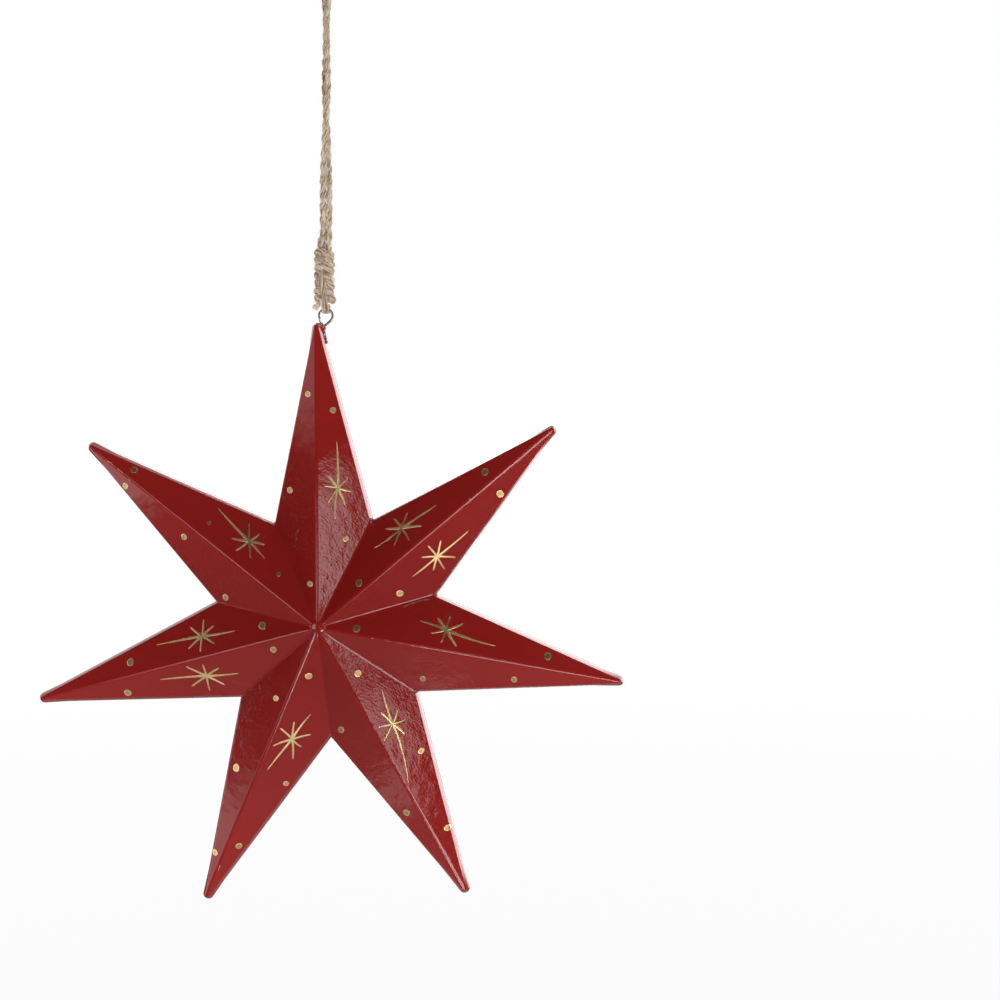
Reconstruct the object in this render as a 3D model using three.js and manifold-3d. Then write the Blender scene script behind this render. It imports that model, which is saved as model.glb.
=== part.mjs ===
// A seven-pointed star ornament that hangs on a loop of jute twine.
// Two moulded half shells are glued edge to edge, and a wire eye is held in the top point by a
// plug of pulp and glue. The twine passes through the eye and is wound round itself in a knot.
// Millimetres, +Z up, the front faces -Y. The origin is the inside of the loop's top, where the
// ornament hangs on its peg.

import * as THREE from 'three';
import Module from 'manifold-3d';
import { mergeVertices } from 'three/addons/utils/BufferGeometryUtils.js';

const wasm = await Module();
wasm.setup();

// Star
const POINTS = 7;
const POINT_RADIUS = 149.4; // middle to the rounded end of a point, at the rim
const CORNER_RADIUS = 56.5; // middle to the corner between two points, at the rim
const POINT_ROUND = 1.9; // radius of a point's end, seen from the front
const RELIEF = 24.2; // rim to the raised middle of one face
const RIM_DEPTH = 3.4; // seam to rim of one half
const RIM_DRAFT = 0.3; // how far the side wall leans out from rim to seam
const RIM_BEVEL = 0.6; // worn edge between side wall and face
const SHELL_WALL = 2.2;
const GLUE_LINE = 0.3; // between the two halves
const HANG_TILT = 2.0; // degrees that the star hangs to its left, because the eye is off its middle

// Wire eye, in the star's own directions
const WIRE = 1.4;
const EYE_RADIUS = 3.4; // middle of the ring to the middle of its wire
const EYE_SIDE = 4.45; // the ring's middle, right of the top point's axis
const EYE_RISE = 3.7; // the ring's middle, above the end of the top point
const ENTRY_SIDE = 2.95; // where the wire enters the seam, right of the top point's axis
const ENTRY_DROP = 2.5; // and below the point's end
const SHANK_LENGTH = 19; // buried length of the wire
const SHANK_SIDE = 0.45; // its lower end, right of the top point's axis
const WIRE_PLAY = 0.3; // round the wire, in the halves and in the plug

// Plug and bead of glue
const PLUG_LENGTH = 23; // from the hollow's upper end
const PLUG_PLAY = 0.3;
const BEAD_DROP = 9.4; // end of the top point down to the bead
const BEAD_RADIUS = 0.85;

// Twine, loop and knot
const TWINE = 3.1;
const TOUCH = 0.3; // between pieces of twine that lie against each other
const LOOP_DROP = 160; // inside of the loop's top down to the knot
const CORE_RADIUS = 1.8; // the strands squeezed together inside the knot
const WRAP_TURNS = 6.4;
const WRAP_PITCH = 3.85;
const KNOT_SIDE = -0.8; // the knot's axis, right of the loop's middle
const BIGHT_WIDTH = 4.2; // the strand pressed flat where it carries the eye
const BIGHT_THICK = 1.3;
const BIGHT_DROP = 2.8; // knot's lower end down to the top of the eye's wire
const BIGHT_PLAY = 0.5; // above the bight's ends, so that it can lean
const EYE_PLAY = 0.45; // between the bight and the eye's wire
const STRAND_RISE = 13; // how far the front strand runs up over the knot
const STRAND_LEAN = 1; // and to the left on the way
const CORE_END = 0.8; // the core stops this far short of the knot's lower end
const TAIL_LENGTH = 5.2; // frayed cut end below the knot
const TAIL_FLARE = 1.5; // widest radius of its loose fibres
const TAIL_DROP = 0.7; // its root, below the knot's core
const STUB_LENGTH = 3; // the winding's own cut end, beside the knot's foot
const STUB_FLARE = 2.1;

// Facets
const END_STEPS = 4; // round the end of a point
const TUBE_SIDES = 8;
const WINDING_SIDES = 6;
const TURN_STEPS = 24; // along one turn of the winding
const LOOP_STEPS = 72;
const EYE_STEPS = 64;
const BIGHT_STEPS = 26;
const STRAND_STEPS = 6;

const turn = 2 * Math.PI;
const radians = THREE.MathUtils.degToRad;

// Sizes that follow from the ones above
const halfStep = Math.PI / POINTS;
const wrapRadius = CORE_RADIUS + TOUCH + TWINE / 2;
const knotLength = WRAP_TURNS * WRAP_PITCH + TWINE;
const knotTop = -LOOP_DROP;
const knotBottom = knotTop - knotLength;
const eyeTop = knotBottom - BIGHT_DROP;
const pointEnd = POINT_RADIUS + RIM_DRAFT;
const eyeHeight = pointEnd + EYE_RISE;
const bightFront = -(wrapRadius + TWINE / 2 + TOUCH + BIGHT_THICK / 2);
const bightUnder = WIRE / 2 + EYE_PLAY + BIGHT_THICK / 2;

// The straight edges of the outline all lie at one distance from the middle, so that the
// outline grown by any amount is the same star at another scale.
function pointHalfAngle(sharpRadius) {
  const across = CORNER_RADIUS * Math.sin(halfStep);
  const along = sharpRadius - CORNER_RADIUS * Math.cos(halfStep);
  return Math.atan2(across, along);
}

function sharpPointRadius() {
  let sharp = POINT_RADIUS;
  for (let i = 0; i < 20; i++) {
    sharp = POINT_RADIUS + POINT_ROUND * (1 / Math.sin(pointHalfAngle(sharp)) - 1);
  }
  return sharp;
}

const sharpRadius = sharpPointRadius();
const halfAngle = pointHalfAngle(sharpRadius);
const edgeDistance = sharpRadius * Math.sin(halfAngle);
const slope = RELIEF / edgeDistance;
const wallDrop = SHELL_WALL * Math.hypot(1, slope);

// The outline grown by a distance, as points in (x, z), with each point's end rounded
function starOutline(grow, round, steps) {
  const scale = 1 + grow / edgeDistance;
  const outline = [];
  for (let k = 0; k < POINTS; k++) {
    const heading = Math.PI / 2 - 2 * k * halfStep;
    const centre = sharpRadius * scale - round / Math.sin(halfAngle);
    for (let i = 0; i <= steps; i++) {
      const spread = (1 - (2 * i) / Math.max(steps, 1)) * (Math.PI / 2 - halfAngle);
      const direction = heading + (steps > 0 ? spread : 0);
      outline.push([
        centre * Math.cos(heading) + round * Math.cos(direction),
        centre * Math.sin(heading) + round * Math.sin(direction),
      ]);
    }
    const corner = heading - halfStep;
    outline.push([
      CORNER_RADIUS * scale * Math.cos(corner),
      CORNER_RADIUS * scale * Math.sin(corner),
    ]);
  }
  return outline;
}

// A star-shaped solid from rows of outlines, each at its own depth, closed by a middle point
// at either end. Depth is measured towards the viewer, and side -1 is the front.
function starSolid(rows, startDepth, endDepth, side) {
  const positions = [];
  const indices = [];
  const count = rows[0].outline.length;
  const triangle = (a, b, c) => {
    indices.push(...(side < 0 ? [a, b, c] : [a, c, b]));
  };
  for (const row of rows) {
    for (const [x, z] of row.outline) {
      positions.push(x, side * row.depth, z);
    }
  }
  const start = positions.length / 3;
  positions.push(0, side * startDepth, 0);
  const end = start + 1;
  positions.push(0, side * endDepth, 0);
  for (let i = 0; i < count; i++) {
    const next = (i + 1) % count;
    triangle(start, i, next);
    for (let r = 0; r + 1 < rows.length; r++) {
      const low = r * count;
      const high = low + count;
      triangle(low + i, high + i, high + next);
      triangle(low + i, high + next, low + next);
    }
    const last = (rows.length - 1) * count;
    triangle(end, last + next, last + i);
  }
  const geometry = new THREE.BufferGeometry();
  geometry.setAttribute('position', new THREE.Float32BufferAttribute(positions, 3));
  geometry.setIndex(indices);
  return geometry;
}

function toManifold(geometry) {
  const bare = geometry.clone();
  bare.deleteAttribute('normal');
  bare.deleteAttribute('uv');
  const merged = mergeVertices(bare, 1e-4);
  return new wasm.Manifold(
    new wasm.Mesh({
      numProp: 3,
      vertProperties: new Float32Array(merged.attributes.position.array),
      triVerts: new Uint32Array(merged.index.array),
    }),
  );
}

function toGeometry(manifold) {
  const mesh = manifold.getMesh();
  const geometry = new THREE.BufferGeometry();
  geometry.setAttribute('position', new THREE.Float32BufferAttribute(mesh.vertProperties, 3));
  geometry.setIndex(Array.from(mesh.triVerts));
  return geometry;
}

function polygon(width, depth, sides) {
  const shape = new THREE.Shape();
  for (let i = 0; i < sides; i++) {
    const angle = (turn * (i + 0.5)) / sides;
    const x = (width / 2) * Math.cos(angle);
    const y = (depth / 2) * Math.sin(angle);
    if (i === 0) {
      shape.moveTo(x, y);
    } else {
      shape.lineTo(x, y);
    }
  }
  shape.closePath();
  return shape;
}

function tube(curve, width, depth, sides, steps) {
  return new THREE.ExtrudeGeometry(polygon(width, depth, sides), {
    steps,
    bevelEnabled: false,
    extrudePath: curve,
  });
}

// The same, but the section's width stays square to the path and as near as it can to one way
function flatTube(curve, across, width, depth, sides, steps) {
  curve.computeFrenetFrames = (segments) => {
    const frames = { tangents: [], normals: [], binormals: [] };
    for (let i = 0; i <= segments; i++) {
      const tangent = curve.getTangentAt(i / segments);
      const binormal = tangent.clone().cross(across).normalize();
      frames.tangents.push(tangent);
      frames.binormals.push(binormal);
      frames.normals.push(binormal.clone().cross(tangent));
    }
    return frames;
  };
  return tube(curve, width, depth, sides, steps);
}

function smooth(points) {
  return new THREE.CatmullRomCurve3(points, false, 'centripetal');
}

const at = (x, y, z) => new THREE.Vector3(x, y, z);

// Half shells: relief outside, the same relief set back by the wall inside, open at the seam
function shellSolid(side) {
  const outerRows = [
    { depth: GLUE_LINE / 2, grow: RIM_DRAFT },
    { depth: RIM_DEPTH - RIM_BEVEL, grow: (RIM_DRAFT * RIM_BEVEL) / RIM_DEPTH },
    { depth: RIM_DEPTH + RIM_BEVEL * slope, grow: -RIM_BEVEL },
  ].map(({ depth, grow }) => ({ depth, outline: starOutline(grow, POINT_ROUND + grow, END_STEPS) }));
  const outer = starSolid(outerRows, GLUE_LINE / 2, RIM_DEPTH + RELIEF, side);
  const ledge = RIM_DEPTH + SHELL_WALL * slope - wallDrop;
  const hollowRows = [-SHELL_WALL, ledge].map((depth) => ({
    depth,
    outline: starOutline(-SHELL_WALL, 0, 0),
  }));
  const hollow = starSolid(hollowRows, -SHELL_WALL, RIM_DEPTH + RELIEF - wallDrop, side);
  return toManifold(outer).subtract(toManifold(hollow));
}

// Wire eye: a cut end beside the point, round the ring, across and down into the seam. All of
// it is worked out from the ring's middle.
const eyeMiddle = at(EYE_SIDE, 0, eyeHeight);
const RING_START = 200; // degrees round the ring, from its right side
const RING_END = -40;
const RING_STEP = 15;
// Shares of the way sideways and down, from the ring's end to the seam
const SLANT = [[0.354, 0.339], [0.695, 0.601], [0.902, 0.788], [1, 1]];
// Shares of the way sideways and down, from the seam to the shank's lower end
const BURIED = [[0.14, 0.105], [0.504, 0.29], [0.824, 0.474], [0.968, 0.658], [1, 1]];

function ringPoint(degrees) {
  const angle = radians(degrees);
  return at(EYE_RADIUS * Math.cos(angle), 0, EYE_RADIUS * Math.sin(angle));
}

function between(from, to, shares) {
  return shares.map(([sideways, down]) =>
    at(from.x + sideways * (to.x - from.x), 0, from.z + down * (to.z - from.z)),
  );
}

function eyeRoute() {
  const ring = [];
  for (let degrees = RING_START; degrees >= RING_END; degrees -= RING_STEP) {
    ring.push(ringPoint(degrees));
  }
  const entry = at(ENTRY_SIDE - EYE_SIDE, 0, -EYE_RISE - ENTRY_DROP);
  const shankEnd = at(SHANK_SIDE - EYE_SIDE, 0, entry.z - SHANK_LENGTH);
  return {
    cutLeg: [
      at(-0.575, 0.44, -1.235).multiplyScalar(EYE_RADIUS),
      at(-0.81, 0.28, -0.855).multiplyScalar(EYE_RADIUS),
    ],
    ring,
    slantLeg: between(ringPoint(RING_END), entry, SLANT),
    shank: between(entry, shankEnd, BURIED),
  };
}

function eyeCurve(points) {
  return smooth(points.map((point) => point.clone().add(eyeMiddle)));
}

// A point past the first of two, on the line through them
function beyond(first, second, distance) {
  const direction = first.clone().sub(second).normalize();
  return first.clone().addScaledVector(direction, distance);
}

const route = eyeRoute();
const eyeGeometry = tube(
  eyeCurve([...route.cutLeg, ...route.ring, ...route.slantLeg, ...route.shank]),
  WIRE,
  WIRE,
  TUBE_SIDES,
  EYE_STEPS,
);

// The room that the wire takes in the halves and the plug
function channel(points, steps) {
  const width = WIRE + 2 * WIRE_PLAY;
  return toManifold(tube(eyeCurve(points), width, width, TUBE_SIDES, steps));
}

const shankEnd = route.shank[route.shank.length - 1];
const shankFoot = beyond(shankEnd, route.shank[route.shank.length - 2], WIRE_PLAY);
const legTip = beyond(route.cutLeg[0], route.cutLeg[1], 2 * WIRE_PLAY);
const legChannel = channel([legTip, ...route.cutLeg], 6);
const shankChannel = channel([...route.slantLeg.slice(1), ...route.shank, shankFoot], 16);

// Plug: fills the upper end of the hollow and grips the shank
function plugGeometry() {
  const ledge = RIM_DEPTH + SHELL_WALL * slope - wallDrop - PLUG_PLAY;
  const top = RIM_DEPTH + RELIEF - wallDrop - PLUG_PLAY;
  const outline = starOutline(-SHELL_WALL - PLUG_PLAY, 0, 0);
  const filling = starSolid(
    [
      { depth: -ledge, outline },
      { depth: ledge, outline },
    ],
    -top,
    top,
    -1,
  );
  const hollowEnd = sharpRadius * (1 - SHELL_WALL / edgeDistance);
  const block = new THREE.BoxGeometry(POINT_RADIUS, POINT_RADIUS, PLUG_LENGTH);
  block.translate(0, 0, hollowEnd - PLUG_LENGTH / 2);
  return toGeometry(toManifold(filling).intersect(toManifold(block)).subtract(shankChannel));
}

// Bead: glue pressed out of the seam beside the buried wire, flat against the side wall
function beadGeometry() {
  const ball = toManifold(new THREE.SphereGeometry(BEAD_RADIUS, 10, 8));
  const outside = new THREE.BoxGeometry(2 * BEAD_RADIUS, 4 * BEAD_RADIUS, 4 * BEAD_RADIUS);
  outside.translate(BEAD_RADIUS, 0, 0);
  return toGeometry(ball.intersect(toManifold(outside)));
}

// Loop: up one strand, round the peg, down the other. The strands cross once on the way.
const loopEnd = knotTop + TOUCH;
const straight = 7.7; // of each strand, above the knot
const LOOP_ROUTE = [
  [-1.75, 0, loopEnd],
  [-1.75, 0, loopEnd + straight],
  [-1.75, -0.2, -143],
  [-1.6, -0.8, -133],
  [-1.1, -1.4, -122],
  [-0.55, -1.7, -111],
  [0, -1.78, -99],
  [0.6, -1.68, -88],
  [1, -1.48, -78],
  [0.75, -1.62, -68],
  [0.55, -1.7, -57],
  [0.5, -1.72, -46],
  [1.1, -1.5, -37],
  [2.6, -0.9, -28],
  [4.6, -0.3, -18],
  [6, 0, -9],
  [5.9, 0, -3.4],
  [4, 0, 0.2],
  [0, 0, TWINE / 2],
  [-4, 0, 0.2],
  [-5.9, 0, -3.4],
  [-6, 0, -9],
  [-4.6, 0.3, -18],
  [-2.6, 0.9, -28],
  [-1.1, 1.5, -37],
  [-0.5, 1.72, -46],
  [-0.55, 1.7, -57],
  [-0.75, 1.62, -68],
  [-1, 1.48, -78],
  [-0.6, 1.68, -88],
  [0, 1.78, -99],
  [0.55, 1.7, -111],
  [1.1, 1.4, -122],
  [1.6, 0.8, -133],
  [1.75, 0.2, -143],
  [1.75, 0, loopEnd + straight],
  [1.75, 0, loopEnd],
];

function loopGeometry() {
  const points = LOOP_ROUTE.map(([x, y, z]) => at(x, y, z));
  return tube(smooth(points), TWINE, TWINE, TUBE_SIDES, LOOP_STEPS);
}

// Winding: one strand round the core. Its upper end runs up behind the loop's strands and its
// lower end runs straight to the right, across the front.
const lowerAngle = -Math.PI / 2;
const upperAngle = lowerAngle - WRAP_TURNS * turn;
const UPPER_END = [[0, 0.8, 5 + TWINE], [0, 0.8, 5], [-0.2, 0.75, 2.6], [-0.45, 0.35, 1]];

function windingPoints() {
  const steps = Math.round(WRAP_TURNS * TURN_STEPS);
  const lowerZ = knotBottom + TWINE / 2;
  const upperZ = lowerZ + WRAP_TURNS * WRAP_PITCH;
  const upperX = wrapRadius * Math.cos(upperAngle);
  const upperY = wrapRadius * Math.sin(upperAngle);
  const points = UPPER_END.map(([x, y, z]) => at(upperX + x, upperY + y, upperZ + z));
  for (let i = 2; i <= steps; i++) {
    const share = i / steps;
    const angle = upperAngle + share * (lowerAngle - upperAngle);
    points.push(
      at(
        wrapRadius * Math.cos(angle),
        wrapRadius * Math.sin(angle),
        upperZ + share * (lowerZ - upperZ),
      ),
    );
  }
  points.push(at(TWINE / 2, -wrapRadius, lowerZ), at(TWINE, -wrapRadius, lowerZ));
  return points;
}

// Least distance between surfaces of two stretches of the winding more than half a turn apart
function leastGap(points, diameter) {
  let least = Infinity;
  for (let i = 0; i < points.length; i++) {
    for (let j = i + TURN_STEPS / 2; j < points.length; j++) {
      least = Math.min(least, points[i].distanceTo(points[j]));
    }
  }
  return least - diameter;
}

const windingRoute = windingPoints();
console.log('winding, least gap to itself in mm:', leastGap(windingRoute, TWINE).toFixed(2));

// Bight: from the front strand, under the eye's wire, up behind it to the knot's lower end.
// The first list holds shares of the way in and down to the wire.
const DESCENT = [[0, 0], [0.033, 0.276], [0.2, 0.54], [0.49, 0.736], [0.79, 0.828], [1, 1]];
const UNDER_STEPS = 4;

function bightRoute() {
  const start = knotBottom + TWINE / 2;
  const points = DESCENT.map(([inward, down]) =>
    at(0, bightFront - inward * (bightFront + bightUnder), start - down * (start - eyeTop)),
  );
  for (let i = 1; i <= UNDER_STEPS; i++) {
    const angle = (Math.PI * i) / UNDER_STEPS;
    points.push(at(0, -bightUnder * Math.cos(angle), eyeTop - bightUnder * Math.sin(angle)));
  }
  points.push(at(0, bightUnder, (eyeTop + knotBottom) / 2), at(0, bightUnder, knotBottom));
  return points;
}

function frontStrandRoute() {
  const foot = knotBottom + TWINE / 2 + BIGHT_PLAY;
  return [
    at(0, bightFront, foot),
    at(0, bightFront, foot + STRAND_RISE / 2),
    at(-STRAND_LEAN, bightFront, foot + STRAND_RISE),
  ];
}

// Cut end of twine: flares where the fibres come loose, along +Z from its root
function frayedEnd(length, rootRadius, flare) {
  const profile = [
    new THREE.Vector2(0, 0),
    new THREE.Vector2(rootRadius, 0),
    new THREE.Vector2(flare * 0.95, length * 0.3),
    new THREE.Vector2(flare, length * 0.65),
    new THREE.Vector2(flare * 0.7, length * 0.92),
    new THREE.Vector2(0, length),
  ];
  const end = new THREE.LatheGeometry(profile, 10);
  end.rotateX(Math.PI / 2);
  return end;
}

function pointAlong(mesh, direction) {
  mesh.quaternion.setFromUnitVectors(at(0, 0, 1), direction.clone().normalize());
}

// Materials
function finish(color, roughness, metalness) {
  return new THREE.MeshStandardMaterial({ color, roughness, metalness });
}

function piece(name, geometry, material) {
  const mesh = new THREE.Mesh(geometry, material);
  mesh.name = name;
  return mesh;
}

const star = new THREE.Group();
for (const [name, side] of [['front_shell', -1], ['back_shell', 1]]) {
  const shell = shellSolid(side).subtract(shankChannel).subtract(legChannel);
  star.add(piece(name, toGeometry(shell), finish('#7e1719', 0.28, 0)));
}
star.add(piece('hanging_eye', eyeGeometry, finish('#8f8f8c', 0.3, 1)));
star.add(piece('tip_plug', plugGeometry(), finish('#a58f6b', 0.95, 0)));
const bead = piece('seam_bead', beadGeometry(), finish('#7a1518', 0.3, 0));
const beadAlong = sharpRadius - (pointEnd - BEAD_DROP);
bead.position.set(
  beadAlong * Math.tan(halfAngle) + (RIM_DRAFT + TOUCH) / Math.cos(halfAngle),
  0,
  pointEnd - BEAD_DROP,
);
bead.rotation.y = -halfAngle;
star.add(bead);

// The star turns about the eye's middle by its hanging tilt, and the eye hangs in the bight
const tilt = radians(HANG_TILT);
star.rotation.y = -tilt;
star.position.set(
  eyeHeight * Math.sin(tilt) - EYE_SIDE * Math.cos(tilt),
  0,
  eyeTop - EYE_RADIUS - eyeHeight * Math.cos(tilt) - EYE_SIDE * Math.sin(tilt),
);

const jute = () => finish('#b39a76', 0.95, 0);
const knot = new THREE.Group();
knot.position.x = KNOT_SIDE;
const coreLength = knotLength - CORE_END;
const core = new THREE.CylinderGeometry(CORE_RADIUS, CORE_RADIUS, coreLength, 12);
core.rotateX(Math.PI / 2);
core.translate(0, 0, knotTop - coreLength / 2);
const coreBottom = knotTop - coreLength;
knot.add(piece('knot_core', core, jute()));
const winding = tube(smooth(windingRoute), TWINE, TWINE, WINDING_SIDES, windingRoute.length - 1);
knot.add(piece('knot_winding', winding, jute()));
const flattened = (points, steps) =>
  flatTube(smooth(points), at(1, 0, 0), BIGHT_WIDTH, BIGHT_THICK, TUBE_SIDES, steps);
knot.add(piece('knot_strand', flattened(frontStrandRoute(), STRAND_STEPS), jute()));

const windingEnd = windingRoute[windingRoute.length - 1];
const cordEnd = piece('cord_end', frayedEnd(STUB_LENGTH, TWINE / 2, STUB_FLARE), jute());
cordEnd.position.copy(windingEnd).add(at(TOUCH, 0, 0));
pointAlong(cordEnd, at(1, 0, 0));
knot.add(cordEnd);

const cordTail = piece('cord_tail', frayedEnd(TAIL_LENGTH, TWINE / 3, TAIL_FLARE), jute());
cordTail.position.set(-1.6, -1.3, coreBottom - 2 * TOUCH - TAIL_DROP);
pointAlong(cordTail, at(-1, -0.5, -0.5));
knot.add(cordTail);

const bight = piece('eye_bight', flattened(bightRoute(), BIGHT_STEPS), jute());

const group = new THREE.Group();
group.add(star, knot, bight, piece('hanging_cord', loopGeometry(), jute()));

export default group;
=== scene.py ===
"""A seven-pointed lacquered paper star with a wire eye, on a knotted loop of jute twine."""

import math
import random

import bmesh
import bpy
import numpy as np
from bpy.props import FloatProperty, FloatVectorProperty, IntProperty, PointerProperty
from mathutils import Matrix, Vector
from mathutils.bvhtree import BVHTree
from mathutils.geometry import delaunay_2d_cdt


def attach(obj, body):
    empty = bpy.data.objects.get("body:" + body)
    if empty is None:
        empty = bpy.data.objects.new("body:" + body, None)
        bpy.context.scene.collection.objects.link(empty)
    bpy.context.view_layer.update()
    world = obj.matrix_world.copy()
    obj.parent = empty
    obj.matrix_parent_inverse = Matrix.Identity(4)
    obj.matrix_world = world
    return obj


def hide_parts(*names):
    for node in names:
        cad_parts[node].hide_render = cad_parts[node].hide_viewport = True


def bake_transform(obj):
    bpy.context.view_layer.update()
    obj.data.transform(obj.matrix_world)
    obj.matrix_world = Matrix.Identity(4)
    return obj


bl_info = {
    "name": "Lacquered Paper Star",
    "version": (1, 0, 0),
    "blender": (4, 5, 0),
    "location": "View3D > Sidebar > Star",
    "description": "Builds a pointed paper star ornament and the twine that it hangs on",
    "category": "Add Mesh",
}

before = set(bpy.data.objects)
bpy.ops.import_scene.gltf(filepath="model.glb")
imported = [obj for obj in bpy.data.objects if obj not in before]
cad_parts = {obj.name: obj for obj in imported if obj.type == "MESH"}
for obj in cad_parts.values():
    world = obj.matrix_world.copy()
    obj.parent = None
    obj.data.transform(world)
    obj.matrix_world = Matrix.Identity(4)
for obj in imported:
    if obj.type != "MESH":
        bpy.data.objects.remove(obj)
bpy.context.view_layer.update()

MM = 0.001
TURN = 2 * math.pi
STAR_MIDDLE = Vector((0.0009, 0.0, -0.3474))  # of the star at rest, in metres


def linear(text):
    """An sRGB hex colour as linear RGB."""
    channels = [int(text[i : i + 2], 16) / 255 for i in (1, 3, 5)]
    return tuple(c / 12.92 if c <= 0.04045 else ((c + 0.055) / 1.055) ** 2.4 for c in channels)


# Sizes and colours that a user would change


class StarSizes(bpy.types.PropertyGroup):
    """Sizes of the moulded star"""

    points: IntProperty(name="Points", description="Points of the star", default=7, min=3)
    point_radius: FloatProperty(
        name="Point radius", description="Middle to the rounded end of a point, at the rim",
        default=0.1494, unit="LENGTH")
    corner_radius: FloatProperty(
        name="Corner radius", description="Middle to the corner between two points, at the rim",
        default=0.0565, unit="LENGTH")
    point_round: FloatProperty(
        name="Point rounding", description="Radius of a point's end, seen from the front",
        default=0.0019, unit="LENGTH")
    relief: FloatProperty(
        name="Relief", description="Rim to the raised middle of one face",
        default=0.0242, unit="LENGTH")
    rim_depth: FloatProperty(
        name="Rim depth", description="Seam to rim of one half", default=0.0034, unit="LENGTH")
    rim_draft: FloatProperty(
        name="Rim draft", description="How far the side wall leans out from rim to seam",
        default=0.0003, unit="LENGTH")
    rim_inset: FloatProperty(
        name="Rim inset", description="How far the worn edge of the face stands back from its "
        "sharp outline", default=0.0010, unit="LENGTH", precision=5)
    rim_round: FloatProperty(
        name="Rim rounding", description="Radius of the worn edge between side wall and face",
        default=0.0009, unit="LENGTH")
    nose_round: FloatProperty(
        name="Nose rounding", description="Radius of that edge round the end of a point",
        default=0.0014, unit="LENGTH")
    nose_bulge: FloatProperty(
        name="Nose bulge", description="How far the seam stands out round the end of a point",
        default=0.0006, unit="LENGTH")
    wall: FloatProperty(
        name="Wall", description="Thickness of the moulded paper", default=0.0022, unit="LENGTH")
    glue_line: FloatProperty(
        name="Glue line", description="Between the two halves", default=0.0003, unit="LENGTH")
    ridge_round: FloatProperty(
        name="Ridge rounding", description="Width over which a ridge turns",
        default=0.0019, unit="LENGTH")
    valley_round: FloatProperty(
        name="Valley rounding", description="Width over which a valley turns",
        default=0.0012, unit="LENGTH")
    apex_round: FloatProperty(
        name="Middle rounding", description="Radius of the raised middle",
        default=0.0036, unit="LENGTH")
    hang_tilt: FloatProperty(
        name="Hanging tilt", description="The star hangs to its left, as the eye is off its middle",
        default=math.radians(2.0), subtype="ANGLE")
    undulation: FloatProperty(
        name="Undulation", description="Height of the slow waves left by the mould",
        default=0.00010, unit="LENGTH")
    ripple: FloatProperty(
        name="Ripple", description="Height of the short waves left by the paper pulp",
        default=0.000022, unit="LENGTH")


class LacquerLook(bpy.types.PropertyGroup):
    """Colours and gloss of the lacquer"""

    colour: FloatVectorProperty(
        name="Colour", description="Lacquer where it lies thin, toward the points",
        subtype="COLOR", default=linear("#9C2521"))
    deep: FloatVectorProperty(
        name="Deep colour", description="Lacquer where it lies thick, round the middle",
        subtype="COLOR", default=linear("#871B18"))
    roughness: FloatProperty(
        name="Roughness", description="Blur of its reflections", default=0.05, min=0, max=1)
    peel: FloatProperty(
        name="Orange peel", description="Depth of the dimples in the dried lacquer",
        default=0.00008, unit="LENGTH", precision=6)


class PaintLook(bpy.types.PropertyGroup):
    """The gold marks painted on the lacquer"""

    gold: FloatVectorProperty(
        name="Gold", description="Bronze powder in varnish", subtype="COLOR",
        default=linear("#F0D59C"))
    dot_radius: FloatProperty(
        name="Dot radius", description="Of a painted dot", default=0.0019, unit="LENGTH")
    thickness: FloatProperty(
        name="Thickness", description="Of the paint", default=0.0001, unit="LENGTH", precision=5)


class WireSizes(bpy.types.PropertyGroup):
    """Sizes of the wire eye"""

    thickness: FloatProperty(
        name="Wire", description="Thickness of the wire", default=0.0014, unit="LENGTH")
    eye_radius: FloatProperty(
        name="Eye radius", description="Middle of the ring to the middle of its wire",
        default=0.0034, unit="LENGTH")
    eye_side: FloatProperty(
        name="Eye side", description="The ring's middle, right of the top point's axis",
        default=0.00445, unit="LENGTH")
    eye_rise: FloatProperty(
        name="Eye rise", description="The ring's middle, above the end of the top point",
        default=0.0037, unit="LENGTH")
    steel: FloatVectorProperty(
        name="Zinc", description="Galvanised surface of the wire", subtype="COLOR",
        default=linear("#B4B5B2"))


class TwineSizes(bpy.types.PropertyGroup):
    """Sizes and colours of the jute twine"""

    thickness: FloatProperty(
        name="Twine", description="Thickness of the twine", default=0.0031, unit="LENGTH")
    ply_turn: FloatProperty(
        name="Ply turn", description="Length in which the two plies turn once round each other",
        default=0.0135, unit="LENGTH")
    yarns: IntProperty(name="Yarns", description="Bundles of fibre in one ply", default=11, min=3)
    stray: FloatProperty(
        name="Stray fibres", description="Loose fibres to a square metre of twine",
        default=190000.0, min=0)
    # Painted highlight: the colour of jute catching the light
    light: FloatVectorProperty(
        name="Light fibre", description="Jute in the light", subtype="COLOR",
        default=linear("#FFF6E8"))
    middle: FloatVectorProperty(
        name="Jute", description="Usual colour of jute", subtype="COLOR",
        default=linear("#E3CBAE"))
    # Part the bark's brown, part painted shade between the fibres
    dark: FloatVectorProperty(
        name="Dark fibre", description="Bark and shade between fibres", subtype="COLOR",
        default=linear("#7A5238"))


class StudioSetup(bpy.types.PropertyGroup):
    """Floor and lights"""

    floor_drop: FloatProperty(
        name="Floor", description="Floor below the top of the loop", default=1.35, unit="LENGTH")
    ambient: FloatProperty(
        name="Ambient", description="Even light from all round on matt surfaces", default=0.295)
    key: FloatProperty(name="Lamps", description="Share of the lamps' light", default=1.0)


# Tools shared by the pieces


def node(tree, kind, inputs=None, **settings):
    """Adds one node. Each input is a constant, or the node or socket that feeds it. Colours are
    RGB."""
    made = tree.nodes.new(kind)
    for name, value in settings.items():
        setattr(made, name, value)
    for name, value in (inputs or {}).items():
        source = value.outputs[0] if isinstance(value, bpy.types.Node) else value
        socket = made.inputs[name]
        if isinstance(source, bpy.types.NodeSocket):
            tree.links.new(source, socket)
        else:
            socket.default_value = (*source, 1.0) if socket.type == "RGBA" else source
    return made


def emptied_tree(owner):
    """The node tree of a material, lamp or world, with nothing in it."""
    owner.use_nodes = True
    owner.node_tree.nodes.clear()
    return owner.node_tree


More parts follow.
